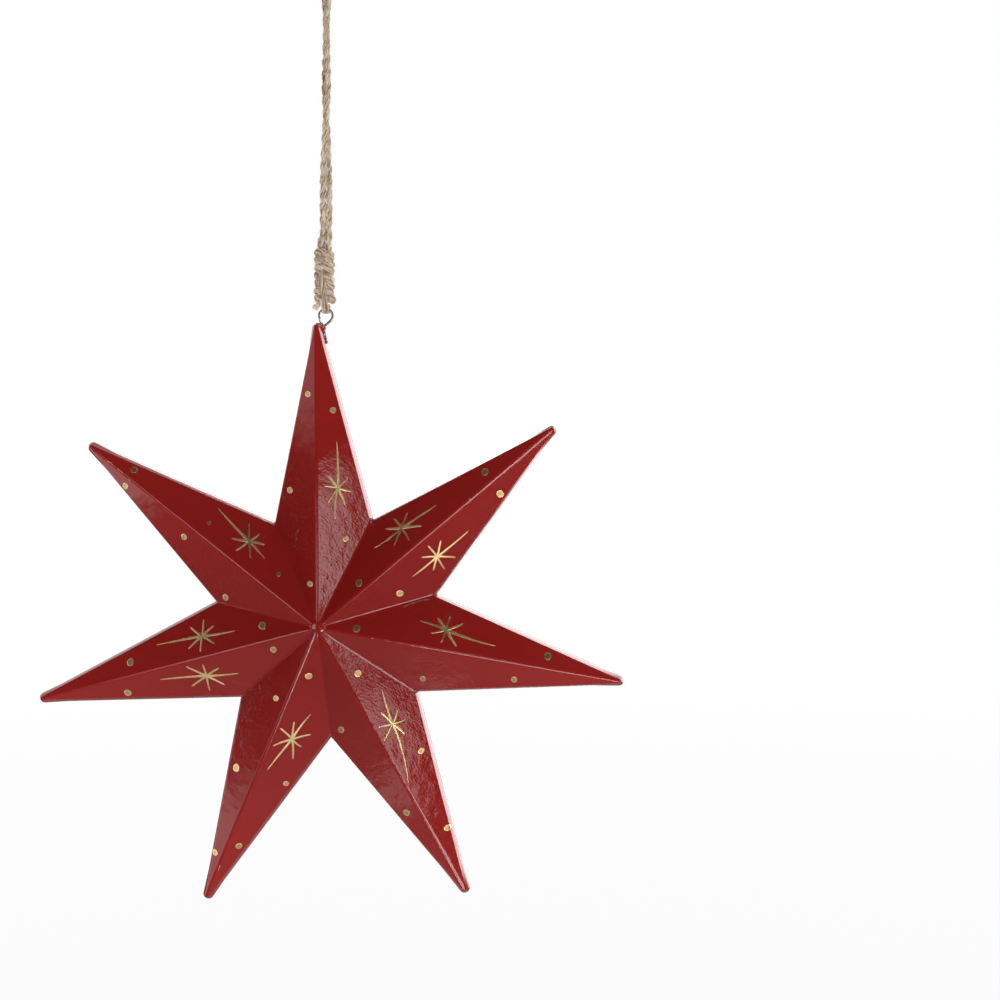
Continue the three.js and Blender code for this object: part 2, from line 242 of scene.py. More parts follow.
def kept(store, name, make, *given):
    """A material or a node tree by name, made once."""
    return store.get(name) or make(*given)


def geometry_tree(name, sockets):
    """An empty geometry tree with named inputs, its input node, and a way to end it."""
    tree = bpy.data.node_groups.new(name, "GeometryNodeTree")
    kinds = {"float": "NodeSocketFloat", "int": "NodeSocketInt", "vector": "NodeSocketVector",
             "material": "NodeSocketMaterial", "bool": "NodeSocketBool"}
    tree.interface.new_socket("Geometry", in_out="INPUT", socket_type="NodeSocketGeometry")
    for label, kind in sockets.items():
        tree.interface.new_socket(label, in_out="INPUT", socket_type=kinds[kind])
    tree.interface.new_socket("Geometry", in_out="OUTPUT", socket_type="NodeSocketGeometry")
    return tree, node(tree, "NodeGroupInput").outputs


def end_tree(tree, geometry, material):
    """Ends a tree in smooth shading, real geometry and its material."""
    smooth = node(tree, "GeometryNodeSetShadeSmooth", {"Geometry": geometry})
    real = node(tree, "GeometryNodeRealizeInstances", {"Geometry": smooth})
    dressed = node(tree, "GeometryNodeSetMaterial", {"Geometry": real, "Material": material})
    node(tree, "NodeGroupOutput", {"Geometry": dressed})
    return tree


def grow(obj, tree, **values):
    """Runs a geometry tree on an object and returns its result as a plain mesh object."""
    modifier = obj.modifiers.new(tree.name, "NODES")
    modifier.node_group = tree
    for item in tree.interface.items_tree:
        key = item.name.lower().replace(" ", "_")
        if item.in_out == "INPUT" and key in values:
            modifier[item.identifier] = values.pop(key)
    if values:
        raise ValueError(f"{tree.name} has no input for {sorted(values)}")
    graph = bpy.context.evaluated_depsgraph_get()
    graph.update()
    mesh = bpy.data.meshes.new_from_object(
        obj.evaluated_get(graph), preserve_all_data_layers=True, depsgraph=graph)
    name = obj.name
    bpy.data.objects.remove(obj)
    mesh.name = name
    return show(name, mesh)


def show(name, data):
    """Links data to the scene as an object at the origin."""
    obj = bpy.data.objects.new(name, data)
    bpy.context.scene.collection.objects.link(obj)
    return obj


def mesh_piece(name, vertices, faces, material=None):
    """A smooth mesh of vertices and faces."""
    mesh = bpy.data.meshes.new(name)
    mesh.from_pydata([tuple(v) for v in vertices], [], [tuple(f) for f in faces])
    if material:
        mesh.materials.append(material)
    mesh.shade_smooth()
    return show(name, mesh)


def path_piece(name, points, cyclic=False):
    """A curve of straight steps through points."""
    curve = bpy.data.curves.new(name, "CURVE")
    curve.dimensions = "3D"
    spline = curve.splines.new("POLY")
    spline.points.add(len(points) - 1)
    for slot, point in zip(spline.points, points):
        slot.co = (*point, 1.0)
    spline.use_cyclic_u = cyclic
    return show(name, curve)


def smooth_path(points, step):
    """A centripetal Catmull-Rom curve through points, as points a step apart."""
    p = np.array(points, float)
    p = np.vstack([2 * p[0] - p[1], p, 2 * p[-1] - p[-2]])
    line = [p[1]]
    for a, b, c, d in zip(p, p[1:], p[2:], p[3:]):
        before, here, after = (max(np.linalg.norm(e), 1e-9) ** 0.5 for e in (b - a, c - b, d - c))
        start = ((b - a) / before - (c - a) / (before + here) + (c - b) / here) * here
        end = ((c - b) / here - (d - b) / (here + after) + (d - c) / after) * here
        count = max(2, math.ceil(np.linalg.norm(c - b) / step))
        for i in range(1, count + 1):
            t = i / count
            line.append(
                b * (2 * t**3 - 3 * t**2 + 1) + start * (t**3 - 2 * t**2 + t)
                + c * (3 * t**2 - 2 * t**3) + end * (t**3 - t**2))
    return np.array(line)


def tidy_mesh(obj):
    """Merges doubles, turns the faces outwards and keeps sharp corners sharp."""
    work = bmesh.new()
    work.from_mesh(obj.data)
    bmesh.ops.remove_doubles(work, verts=work.verts, dist=HALF_DOUBLES)
    bmesh.ops.recalc_face_normals(work, faces=work.faces)
    work.to_mesh(obj.data)
    work.free()
    obj.data.set_sharp_from_angle(angle=SHARP_ANGLE)


# The star's shape


class StarShape:
    """What follows from the star's driving sizes. The star's own directions are x to the right,
    z up along the top point and y away from the viewer, from the middle of the seam."""

    def __init__(self, sizes):
        self.sizes = sizes
        self.half_step = math.pi / sizes.points
        sharp = sizes.point_radius
        for _ in range(SETTLING_ROUNDS):
            angle = self.half_angle(sharp)
            sharp = sizes.point_radius + sizes.point_round * (1 / math.sin(angle) - 1)
        self.sharp = sharp
        self.angle = self.half_angle(sharp)
        self.edge = sharp * math.sin(self.angle)
        self.slope = sizes.relief / self.edge
        self.round_middle = sharp - sizes.point_round / math.sin(self.angle)
        self.point_end = sizes.point_radius + sizes.rim_draft

    def half_angle(self, sharp):
        """Between a point's axis and its straight edge, with its sharp end that far out."""
        across = self.sizes.corner_radius * math.sin(self.half_step)
        along = sharp - self.sizes.corner_radius * math.cos(self.half_step)
        return math.atan2(across, along)

    def depth(self, x, z):
        """Seam to surface of one half at points (x, z), with ridges, valleys and middle rounded."""
        s = self.sizes
        step = 2 * self.half_step
        heading = np.arctan2(x, z)
        side = np.abs(heading - np.round(heading / step) * step)
        flat = np.hypot(x, z)
        far = np.hypot(flat, s.apex_round)
        own = self.edge - far * np.sin(side + self.angle)
        mirrored = self.edge - far * np.sin(self.angle - side)
        other = self.edge - far * np.sin(step - side + self.angle)
        own -= np.maximum(s.ridge_round - np.abs(own - mirrored), 0) ** 2 / (4 * s.ridge_round)
        own += np.maximum(s.valley_round - np.abs(own - other), 0) ** 2 / (4 * s.valley_round)
        u, v = flat * np.cos(side) - self.round_middle, flat * np.sin(side)
        past = np.maximum(u * math.cos(self.angle) - v * math.sin(self.angle), 0)
        square = np.abs(u * math.sin(self.angle) + v * math.cos(self.angle))
        own -= np.hypot(square, past) - square
        return s.rim_depth + self.slope * own

    def outline(self, grow, shares, arc, round_end=True):
        """Half a point's outline grown by a distance, as (across, along): the rounded end, then
        the straight edge to the corner."""
        radius = self.sizes.point_round + grow if round_end else 0.0
        middle = self.round_middle
        if not round_end:
            middle = self.sharp * (1 + grow / self.edge)
        spread = math.pi / 2 - self.angle
        points = [(radius * math.sin(spread * a), middle + radius * math.cos(spread * a))
                  for a in arc]
        corner = self.sizes.corner_radius * (1 + grow / self.edge)
        end = (corner * math.sin(self.half_step), corner * math.cos(self.half_step))
        start = points[-1]
        points += [(start[0] + t * (end[0] - start[0]), start[1] + t * (end[1] - start[1]))
                   for t in shares]
        return np.array(points)

    def place(self, wire):
        """The star's own directions to the frame's: it hangs tilted by its eye."""
        tilt = self.sizes.hang_tilt
        height = self.point_end + wire.eye_rise
        ring = Vector((0, 0, EYE_TOP * MM - wire.eye_radius))
        turned = Matrix.Rotation(-tilt, 4, "Y")
        return Matrix.Translation(ring - turned @ Vector((wire.eye_side, 0, height))) @ turned


SETTLING_ROUNDS = 20  # in which a point's angle and its sharp length come to agree
FACE_STEP = 0.95 * MM  # between points of a face's mesh
ROW_RISE = 0.866  # share of that step between rows of an even pattern of triangles
EDGE_STEP = 1.0 * MM  # along ridges, valleys and rim
ARC_STEPS = 7  # round the end of a point
# Rows of points that let a ridge or a valley turn smoothly, in millimetres from it
RIDGE_ROWS = (0.14, 0.3, 0.48, 0.7, 0.98)
VALLEY_ROWS = (0.12, 0.27, 0.45, 0.66, 0.88)
RIM_ROW = 0.3 * MM
# Least distances of such points, from each other and from ridge, valley and rim
RIDGE_GAPS = (0.07 * MM, 0.05 * MM)
VALLEY_GAPS = (0.09 * MM, 0.07 * MM)
RIM_GAPS = (0.2 * MM, 0.15 * MM)
FACE_GAPS = (0.5 * MM, 0.3 * MM)
END_GAP = 0.4 * MM  # at the very end of a point, where there are none
FILLET_FADE = (1.0, 0.8, 0.5, 0.25, 0.08, 0.0)  # the face's own rounding, row by row round the rim
FILLET_STEPS = len(FILLET_FADE) - 1
WALL_ROWS = ((0.6, 0.3), (0.92, 0.1))  # share of the way down the side wall, and of its waves
SEAM_LIP = 0.1 * MM  # how far the side wall turns in at the seam
CALM_LENGTH = 45 * MM  # from the end of a point, over which the skin's waves die down
LEAST_WAVES = 0.1  # share of them that is left at the very end
NOSE_LENGTH = 14 * MM  # over which the rim's rounding swells toward the end of a point
# Vertices this close are merged, in metres: in a point, between points, and in a whole half
POINT_DOUBLES = 2e-6
STAR_DOUBLES = 4e-6
HALF_DOUBLES = 1e-6
THINNEST_FACE = 1e-7
SHARP_ANGLE = math.radians(40)


def face_plan(boundary):
    """Half a point of the face in plan: points packed along ridge, valley and rim, an even
    pattern between them, and the triangles that join them."""
    tip, corner = boundary[0], boundary[-1]
    valley_length = np.linalg.norm(corner)
    valley_way = corner / valley_length
    valley_side = np.array((-valley_way[1], valley_way[0]))
    edge_way = corner - boundary[ARC_STEPS]
    edge_length = np.linalg.norm(edge_way)
    edge_way = edge_way / edge_length
    inward = np.array((-edge_way[1], edge_way[0]))
    if inward @ (-corner) < 0:
        inward = -inward
    count = math.ceil(tip[1] / EDGE_STEP)
    ridge = [(0.0, tip[1] * i / count) for i in range(count)]
    count = math.ceil(valley_length / EDGE_STEP)
    valley = [tuple(corner * i / count) for i in range(1, count)]
    outline = ridge + [tuple(p) for p in boundary] + valley[::-1]
    taken = {}

    def cell(p):
        return int(p[0] // MM), int(p[1] // MM)

    for p in outline:
        taken.setdefault(cell(p), []).append(p)
    extra = []

    def add(p, gap, margin):
        """Keeps a point that is inside the outline by a margin and clear of the others."""
        p = np.array(p)
        to_valley = valley_way[0] * p[1] - valley_way[1] * p[0]
        if min(p[0], to_valley, (p - corner) @ inward) <= margin or p[1] >= tip[1] - END_GAP:
            return
        p = tuple(p)
        column, row = cell(p)
        near = [q for i in (-1, 0, 1) for j in (-1, 0, 1)
                for q in taken.get((column + i, row + j), ())]
        if all(math.dist(p, q) >= gap for q in near):
            taken.setdefault((column, row), []).append(p)
            extra.append(p)

    for row in RIDGE_ROWS:
        shift = 0.5 * (row == RIDGE_ROWS[0])
        for i in range(int(tip[1] / EDGE_STEP)):
            add((row * MM, (i + shift) * EDGE_STEP), *RIDGE_GAPS)
    for row in VALLEY_ROWS:
        for i in range(int(valley_length / EDGE_STEP)):
            add(valley_way * (i + 0.5) * EDGE_STEP + valley_side * row * MM, *VALLEY_GAPS)
    for i in range(int(edge_length / EDGE_STEP)):
        add(corner - edge_way * i * EDGE_STEP + inward * RIM_ROW, *RIM_GAPS)
    for j in range(int(tip[1] / (FACE_STEP * ROW_RISE)) + 1):
        for i in range(int(corner[0] / FACE_STEP) + 2):
            add(((i + 0.5 * (j % 2)) * FACE_STEP, j * FACE_STEP * ROW_RISE), *FACE_GAPS)
    plan = [Vector(p) for p in outline + extra]
    made = delaunay_2d_cdt(plan, [], [list(range(len(outline)))], 1, 1e-9)
    return np.array([tuple(p) for p in made[0]]), [tuple(f) for f in made[2]]


def rim_rows(shape):
    """Rows of the outline from the face's edge round the rim, down the side wall, over the seam
    and into the hollow: (grow, depth, share of the face's own rounding, share of the skin's
    waves, rounded end). Then the rim's sharp corner, and the depth of the hollow."""
    s = shape.sizes
    steep = math.atan(shape.slope)
    face_way = np.array((math.cos(steep), -math.sin(steep)))
    corner = np.array((-s.rim_inset, s.rim_depth + s.rim_inset * shape.slope))
    seam = np.array((s.rim_draft, s.glue_line / 2))
    wall_way = seam - corner
    wall_way /= np.linalg.norm(wall_way)
    bend = math.acos(face_way @ wall_way)
    reach = s.rim_round * math.tan(bend / 2)
    first, last = corner - reach * face_way, corner + reach * wall_way
    weight = math.cos(bend / 2)
    rows = []
    for i, fade in enumerate(FILLET_FADE):
        t = i / FILLET_STEPS
        parts = ((1 - t) ** 2, 2 * t * (1 - t) * weight, t**2)
        point = (parts[0] * first + parts[1] * corner + parts[2] * last) / sum(parts)
        rows.append((*point, fade, 1.0, True))
    for t, waves in WALL_ROWS:
        rows.append((*(last + t * (seam - last)), 0.0, waves, True))
    rows.append((seam[0] - SEAM_LIP, seam[1], 0.0, 0.0, True))
    drop = s.wall * math.hypot(1, shape.slope)
    ledge = s.rim_depth + s.wall * shape.slope - drop
    rows += [(-s.wall, depth, 0.0, 0.0, False) for depth in (seam[1], ledge)]
    return rows, corner, s.rim_depth + s.relief - drop


def one_point(shape, side):
    """One point of one half as a mesh: its outer skin, side wall and hollow. Side -1 is the
    front. The attribute skin says how much of the surface's waves a vertex takes."""
    sizes = shape.sizes
    rows, corner, hollow_top = rim_rows(shape)
    start = shape.outline(rows[0][0], [1.0], [1.0])
    count = math.ceil(np.linalg.norm(start[1] - start[0]) / EDGE_STEP)
    arc = [i / ARC_STEPS for i in range(ARC_STEPS + 1)]
    shares = [i / count for i in range(1, count + 1)]
    edge = shape.outline(corner[0], shares, arc)
    near = np.clip((edge[:, 1] - edge[0, 1]) / NOSE_LENGTH + 1, 0, 1)
    swell = (sizes.nose_round / sizes.rim_round - 1) * near**2 * (3 - 2 * near) + 1

    def rounded(grow_by, row_depth):
        """A row of the rounded rim and its depths: the rounding swells toward the nose."""
        line = shape.outline(grow_by, shares, arc)
        return edge + (line - edge) * swell[:, None], corner[1] + (row_depth - corner[1]) * swell

    def calm(flat):
        """The share of the waves that points at (x, z) keep."""
        return np.clip((sizes.point_radius - flat[:, 1]) / CALM_LENGTH, LEAST_WAVES, 1)

    boundary, first_depth = rounded(*rows[0][:2])
    plan, triangles = face_plan(boundary)
    depth = shape.depth(plan[:, 0], plan[:, 1])
    vertices = [(x, side * d, z) for (x, z), d in zip(plan, depth)]
    skin = list(calm(plan))
    faces = list(triangles)
    extra = shape.depth(boundary[:, 0], boundary[:, 1]) - first_depth
    below = None
    for row, (grow_by, row_depth, fade, waves, round_end) in enumerate(rows):
        if row <= FILLET_STEPS:
            line, depths = rounded(grow_by, row_depth)
        else:
            line = shape.outline(grow_by, shares, arc, round_end)
            depths = np.full(len(line), row_depth)
        if round_end:
            bulged = shape.outline(grow_by + sizes.nose_bulge, shares, arc)
            line = line + (bulged - line) * (near * (1 - depths / corner[1]))[:, None]
        first = len(vertices)
        vertices += [(x, side * (deep + fade * more), z)
                     for (x, z), deep, more in zip(line, depths, extra)]
        skin += list(waves * calm(line))
        if below is not None:
            faces += [(below + i, below + i + 1, first + i + 1, first + i)
                      for i in range(len(line) - 1)]
        below = first
    middle = len(vertices)
    vertices.append((0.0, side * hollow_top, 0.0))
    skin.append(0.0)
    faces += [(below + i, below + i + 1, middle) for i in range(len(line) - 1)]
    total = len(vertices)
    vertices += [(-x, y, z) for x, y, z in vertices]
    skin += skin
    faces += [tuple(total + i for i in reversed(face)) for face in faces]
    obj = mesh_piece("star_point", vertices, faces)
    held = obj.data.attributes.new("skin", "FLOAT", "POINT")
    held.data.foreach_set("value", skin)
    work = bmesh.new()
    work.from_mesh(obj.data)
    bmesh.ops.remove_doubles(work, verts=work.verts, dist=POINT_DOUBLES)
    bmesh.ops.dissolve_degenerate(work, edges=work.edges, dist=THINNEST_FACE)
    bmesh.ops.recalc_face_normals(work, faces=work.faces)
    deepest = max(work.faces, key=lambda f: f.calc_center_median().y * side)
    if deepest.normal.y * side < 0:
        bmesh.ops.reverse_faces(work, faces=work.faces)
    work.to_mesh(obj.data)
    work.free()
    return obj


def star_tree():
    """Repeats one point round the middle, joins the points, and gives the skin its waves."""
    tree, given = geometry_tree("star_points", {
        "Points": "int", "Undulation": "float", "Undulation size": "float", "Ripple": "float",
        "Ripple size": "float", "Seed": "float", "Material": "material"})
    spots = node(tree, "GeometryNodePoints", {"Count": given["Points"]})
    step = node(tree, "ShaderNodeMath", {0: TURN, 1: given["Points"]}, operation="DIVIDE")
    turned = node(tree, "ShaderNodeMath", {0: node(tree, "GeometryNodeInputIndex"), 1: step},
                  operation="MULTIPLY")
    round_depth = node(tree, "ShaderNodeCombineXYZ", {"Y": turned})
    ring = node(tree, "GeometryNodeInstanceOnPoints", {
        "Points": spots, "Instance": given["Geometry"], "Rotation": round_depth})
    real = node(tree, "GeometryNodeRealizeInstances", {"Geometry": ring})
    joined = node(tree, "GeometryNodeMergeByDistance", {
        "Geometry": real, "Distance": STAR_DOUBLES})
    waves = []
    place = node(tree, "GeometryNodeInputPosition")
    for label in ("Undulation", "Ripple"):
        fine = node(tree, "ShaderNodeMath", {0: 1.0, 1: given[label + " size"]},
                    operation="DIVIDE")
        noise = node(tree, "ShaderNodeTexNoise", {
            "Vector": place, "W": given["Seed"], "Scale": fine, "Detail": 2.0},
            noise_dimensions="4D")
        centred = node(tree, "ShaderNodeMath", {0: noise.outputs[0], 1: -0.5}, operation="ADD")
        height = node(tree, "ShaderNodeMath", {0: given[label], 1: 4.0}, operation="MULTIPLY")
        waves.append(node(tree, "ShaderNodeMath", {0: centred, 1: height},
                          operation="MULTIPLY"))
    both = node(tree, "ShaderNodeMath", {0: waves[0], 1: waves[1]}, operation="ADD")
    skin = node(tree, "GeometryNodeInputNamedAttribute", {"Name": "skin"}, data_type="FLOAT")
    held = node(tree, "ShaderNodeMath", {0: both, 1: skin}, operation="MULTIPLY")
    outward = node(tree, "ShaderNodeVectorMath", {
        0: node(tree, "GeometryNodeInputNormal"), "Scale": held}, operation="SCALE")
    waved = node(tree, "GeometryNodeSetPosition", {"Geometry": joined, "Offset": outward})
    return end_tree(tree, waved, given["Material"])


# Materials. The sizes of their patterns, in metres, are those of the real finishes. What would be
# too fine to show is drawn as coarse as it needs to show, and its comment says so.

LACQUER_PATCH = 22 * MM  # from one thick place to the next
THICK_WITHIN, THIN_BEYOND = 35 * MM, 150 * MM  # from the middle, as lacquer runs off the points
BRUSH_MARK = 0.95 * MM  # across the marks of the bristles
BRUSH_STRETCH = 1.9  # a mark's length as a share of its width
BRUSH_SLANT = math.radians(-60)
DUST = 0.6 * MM  # between grains of dust, caught as nibs or fallen out as pits
PEEL = 4 * MM  # across a dimple of orange peel
WORKED_WITHIN, SMOOTH_BEYOND = 55 * MM, 110 * MM  # from the middle, where the brush went over twice
POWDER = 0.5 * MM  # clumps of bronze powder, whose grains are too fine to show
SCRAPE_DIRT = 0.7 * MM  # between grains of dirt
SPANGLE = 1.2 * MM  # across a zinc crystal
FIBRE_LENGTH = 7 * MM  # of one shade along a bundle of jute
FIBRE_TONE = 2.5 * MM  # of one shade along a loose fibre
PULP_LUMP = 1.5 * MM
GLUE_LUMP = 0.9 * MM


def material_start(name):
    """A new material, its empty node tree and the coordinates of the piece."""
    material = bpy.data.materials.new(name)
    tree = emptied_tree(material)
    return material, tree, node(tree, "ShaderNodeTexCoord").outputs["Object"]


def end_material(material, surface):
    """Ends a material in a surface with the given inputs."""
    shader = node(material.node_tree, "ShaderNodeBsdfPrincipled", surface)
    node(material.node_tree, "ShaderNodeOutputMaterial", {"Surface": shader})
    return material


def gloss_lacquer(look):
    """Oil-gloss lacquer brushed on moulded paper. Brush marks, orange peel, nibs and pits of
    dust break up its reflections, and the red is deeper where it lies thick."""
    material, tree, place = material_start("brushed_gloss_lacquer")
    patches = node(tree, "ShaderNodeTexNoise", {
        "Vector": place, "Scale": 1 / LACQUER_PATCH, "Detail": 4.0, "Roughness": 0.6})
    from_middle = node(tree, "ShaderNodeVectorMath", {0: place, 1: tuple(STAR_MIDDLE)},
                       operation="DISTANCE").outputs["Value"]
    outward = node(tree, "ShaderNodeMapRange", {
        0: from_middle, 1: THICK_WITHIN, 2: THIN_BEYOND, 3: -0.2, 4: 0.75})
    lift = node(tree, "ShaderNodeMath", {0: patches, 1: 0.45, 2: outward},
                operation="MULTIPLY_ADD", use_clamp=True)
    red = node(tree, "ShaderNodeMix", {0: lift, 6: look.deep, 7: look.colour}, data_type="RGBA")
    along_brush = node(tree, "ShaderNodeMapping", {
        "Vector": place, "Rotation": (0.0, BRUSH_SLANT, 0.0), "Scale": (1.0, 1.0, BRUSH_STRETCH)},
        vector_type="TEXTURE")
    brush = node(tree, "ShaderNodeTexNoise", {
        "Vector": along_brush, "Scale": 1 / BRUSH_MARK, "Detail": 1.5, "Roughness": 0.5})
    dust = node(tree, "ShaderNodeTexNoise", {"Vector": place, "Scale": 1 / DUST, "Detail": 1.0})
    pits = node(tree, "ShaderNodeMapRange", {0: dust, 1: 0.26, 2: 0.32})
    nibs = node(tree, "ShaderNodeMapRange", {0: dust, 1: 0.71, 2: 0.77})
    height = node(tree, "ShaderNodeTexNoise", {"Vector": place, "Scale": 1 / PEEL, "Detail": 4.0})
    for mark, share in ((brush, 0.7), (pits, 0.55), (nibs, 0.9)):
        height = node(tree, "ShaderNodeMath", {0: mark, 1: share, 2: height},
                      operation="MULTIPLY_ADD")
    worked = node(tree, "ShaderNodeMapRange", {
        0: from_middle, 1: WORKED_WITHIN, 2: SMOOTH_BEYOND, 3: 1.0, 4: 0.25})
    bump = node(tree, "ShaderNodeBump", {
        "Height": height, "Distance": look.peel, "Strength": worked})
    return end_material(material, {"Base Color": red.outputs[2], "Normal": bump,
                                   "Roughness": look.roughness, "IOR": 1.5})


def bronze_paint(look):
    """Bronze powder in varnish, dabbed on by hand: a rough golden metal, paler where it lies
    thick and showing some red where it is thin."""
    material, tree, place = material_start("bronze_powder_paint")
    grain = node(tree, "ShaderNodeTexNoise", {
        "Vector": place, "Scale": 1 / POWDER, "Detail": 4.0, "Roughness": 0.7})
    thick = node(tree, "ShaderNodeAttribute", attribute_name="thick")
    mottled = node(tree, "ShaderNodeMath", {0: grain, 1: -0.5}, operation="ADD")
    level = node(tree, "ShaderNodeMath", {0: mottled, 1: 1.6, 2: thick.outputs["Fac"]},
                 operation="MULTIPLY_ADD")
    thin = tuple(c * share for c, share in zip(look.gold, (0.62, 0.50, 0.40)))
    gold = node(tree, "ShaderNodeMix", {0: level, 6: thin, 7: look.gold}, data_type="RGBA")
    bump = node(tree, "ShaderNodeBump", {"Height": grain, "Distance": 0.05 * MM, "Strength": 0.6})
    return end_material(material, {"Base Color": gold.outputs[2], "Normal": bump,
                                   "Metallic": 0.9, "Roughness": 0.38})


def scraped_lacquer():
    """Lacquer scraped thin and dirty: a dull grey-green brown over the red."""
    material, tree, place = material_start("scraped_lacquer")
    dirt = node(tree, "ShaderNodeTexNoise", {
        "Vector": place, "Scale": 1 / SCRAPE_DIRT, "Detail": 3.0})
    brown = node(tree, "ShaderNodeMix", {0: dirt, 6: linear("#54292A"), 7: linear("#8E8A78")},
                 data_type="RGBA")
    return end_material(material, {"Base Color": brown.outputs[2], "Roughness": 0.5})


def galvanised_steel(look):
    """Drawn steel wire with a zinc coat: grey metal, its crystals a little duller and brighter."""
    material, tree, place = material_start("galvanised_steel_wire")
    spangle = node(tree, "ShaderNodeTexNoise", {
        "Vector": place, "Scale": 1 / SPANGLE, "Detail": 3.0})
    dull = tuple(c * 0.5 for c in look.steel)
    grey = node(tree, "ShaderNodeMix", {0: spangle, 6: dull, 7: look.steel}, data_type="RGBA")
    blur = node(tree, "ShaderNodeMapRange", {0: spangle, 1: 0.3, 2: 0.7, 3: 0.12, 4: 0.26})
    return end_material(material, {"Base Color": grey.outputs[2], "Roughness": blur,
                                   "Metallic": 1.0})


def spun_jute(twine):
    """Natural jute: matt woody fibres in bundles, each bundle a little different in colour.
    Where its noise is high the colour is a painted highlight of fibres catching the light,
    and where it is low a painted shade, with the bark's brown."""
    material = bpy.data.materials.new("spun_jute")
    tree = emptied_tree(material)
    along, around, yarn = (
        node(tree, "ShaderNodeAttribute", attribute_name=label).outputs["Fac"]
        for label in ("along", "around", "yarn"))
    stretched = node(tree, "ShaderNodeMath", {0: along, 1: 1 / FIBRE_LENGTH},
                     operation="MULTIPLY")
    circled = node(tree, "ShaderNodeMath", {0: around, 1: 7.0}, operation="MULTIPLY")
    apart = node(tree, "ShaderNodeMath", {0: yarn, 1: 3.7}, operation="MULTIPLY")
    spot = node(tree, "ShaderNodeCombineXYZ", {0: stretched, 1: circled, 2: apart})
    fibre = node(tree, "ShaderNodeTexNoise", {"Vector": spot, "Scale": 1.6, "Detail": 5.0,
                                              "Roughness": 0.65})
    drift = node(tree, "ShaderNodeCombineXYZ", {0: stretched, 2: apart})
    patch = node(tree, "ShaderNodeTexNoise", {"Vector": drift, "Scale": 0.5, "Detail": 2.0})
    both = node(tree, "ShaderNodeMath", {0: patch, 1: 0.8, 2: fibre}, operation="MULTIPLY_ADD")
    # Low noise paints shade with the bark's brown, high noise paints highlights
    low = node(tree, "ShaderNodeMapRange", {0: both, 1: 0.76, 2: 0.9})
    high = node(tree, "ShaderNodeMapRange", {0: both, 1: 0.92, 2: 1.06})
    shade = node(tree, "ShaderNodeMix", {0: low, 6: twine.dark, 7: twine.middle},
                 data_type="RGBA")
    tone = node(tree, "ShaderNodeMix", {0: high, 6: shade.outputs[2], 7: twine.light},
                data_type="RGBA")
    bump = node(tree, "ShaderNodeBump", {"Height": fibre, "Distance": 0.25 * MM, "Strength": 1.0})
    return end_material(material, {"Base Color": tone.outputs[2], "Normal": bump,
                                   "Roughness": 0.85, "IOR": 1.53, "Specular IOR Level": 0.25})


def stray_fibre(twine):
    """Single jute fibres: straw-like and a little shiny, and pale where noise mixes in the
    twine's painted highlight colour.
    """
    material, tree, place = material_start("loose_jute_fibre")
    shade = node(tree, "ShaderNodeTexNoise", {"Vector": place, "Scale": 1 / FIBRE_TONE})
    straw = node(tree, "ShaderNodeMix", {0: shade, 6: twine.middle, 7: twine.light},
                 data_type="RGBA")
    return end_material(material, {"Base Color": straw.outputs[2], "Roughness": 0.6})


def paper_pulp():
    """Dried paper pulp and hide glue: beige, matt and lumpy."""
    material, tree, place = material_start("pulp_and_glue")
    lumps = node(tree, "ShaderNodeTexNoise", {
        "Vector": place, "Scale": 1 / PULP_LUMP, "Detail": 5.0})
    beige = node(tree, "ShaderNodeMix", {0: lumps, 6: linear("#8C7350"), 7: linear("#CDB68F")},
                 data_type="RGBA")
    bump = node(tree, "ShaderNodeBump", {"Height": lumps, "Distance": 0.2 * MM})
    return end_material(material, {"Base Color": beige.outputs[2], "Normal": bump,
                                   "Roughness": 0.9})


def lacquered_glue(look):
    """Glue pressed out of the seam and lacquered over: darker, glassier and lumpier than the
    faces."""
    material, tree, place = material_start("lacquered_glue")
    lumps = node(tree, "ShaderNodeTexNoise", {
        "Vector": place, "Scale": 1 / GLUE_LUMP, "Detail": 3.0})
    dark = tuple(c * 0.45 for c in look.deep)
    red = node(tree, "ShaderNodeMix", {0: lumps, 6: dark, 7: look.deep}, data_type="RGBA")
    bump = node(tree, "ShaderNodeBump", {"Height": lumps, "Distance": 0.08 * MM})
    return end_material(material, {"Base Color": red.outputs[2], "Normal": bump,
                                   "Roughness": 0.22, "IOR": 1.5})


def lacquer_material():
    return kept(bpy.data.materials, "brushed_gloss_lacquer", gloss_lacquer,
                bpy.context.scene.lacquer_look)


def glue_material():
    return kept(bpy.data.materials, "lacquered_glue", lacquered_glue,
                bpy.context.scene.lacquer_look)


def pulp_material():
    return kept(bpy.data.materials, "pulp_and_glue", paper_pulp)


def jute_material():
    return kept(bpy.data.materials, "spun_jute", spun_jute, bpy.context.scene.twine_sizes)


def fibre_material():
    return kept(bpy.data.materials, "loose_jute_fibre", stray_fibre,
                bpy.context.scene.twine_sizes)


# Twine: its routes, in millimetres, as in the part's source

TWINE = 3.1
TOUCH = 0.3
LOOP_DROP = 160.0
CORE_RADIUS = 1.8
WRAP_TURNS = 6.4
WRAP_PITCH = 3.85
KNOT_SIDE = -0.8
BIGHT_WIDTH = 4.2
BIGHT_THICK = 1.3
BIGHT_DROP = 2.8
BIGHT_PLAY = 0.5
EYE_PLAY = 0.45
STRAND_RISE = 13.0
STRAND_LEAN = 1.0
CORE_END = 0.8
WIRE = 1.4
WRAP_RADIUS = CORE_RADIUS + TOUCH + TWINE / 2
KNOT_LENGTH = WRAP_TURNS * WRAP_PITCH + TWINE
KNOT_TOP = -LOOP_DROP
KNOT_BOTTOM = KNOT_TOP - KNOT_LENGTH
EYE_TOP = KNOT_BOTTOM - BIGHT_DROP
BIGHT_FRONT = -(WRAP_RADIUS + TWINE / 2 + TOUCH + BIGHT_THICK / 2)
BIGHT_UNDER = WIRE / 2 + EYE_PLAY + BIGHT_THICK / 2
LOOP_END = KNOT_TOP + TOUCH
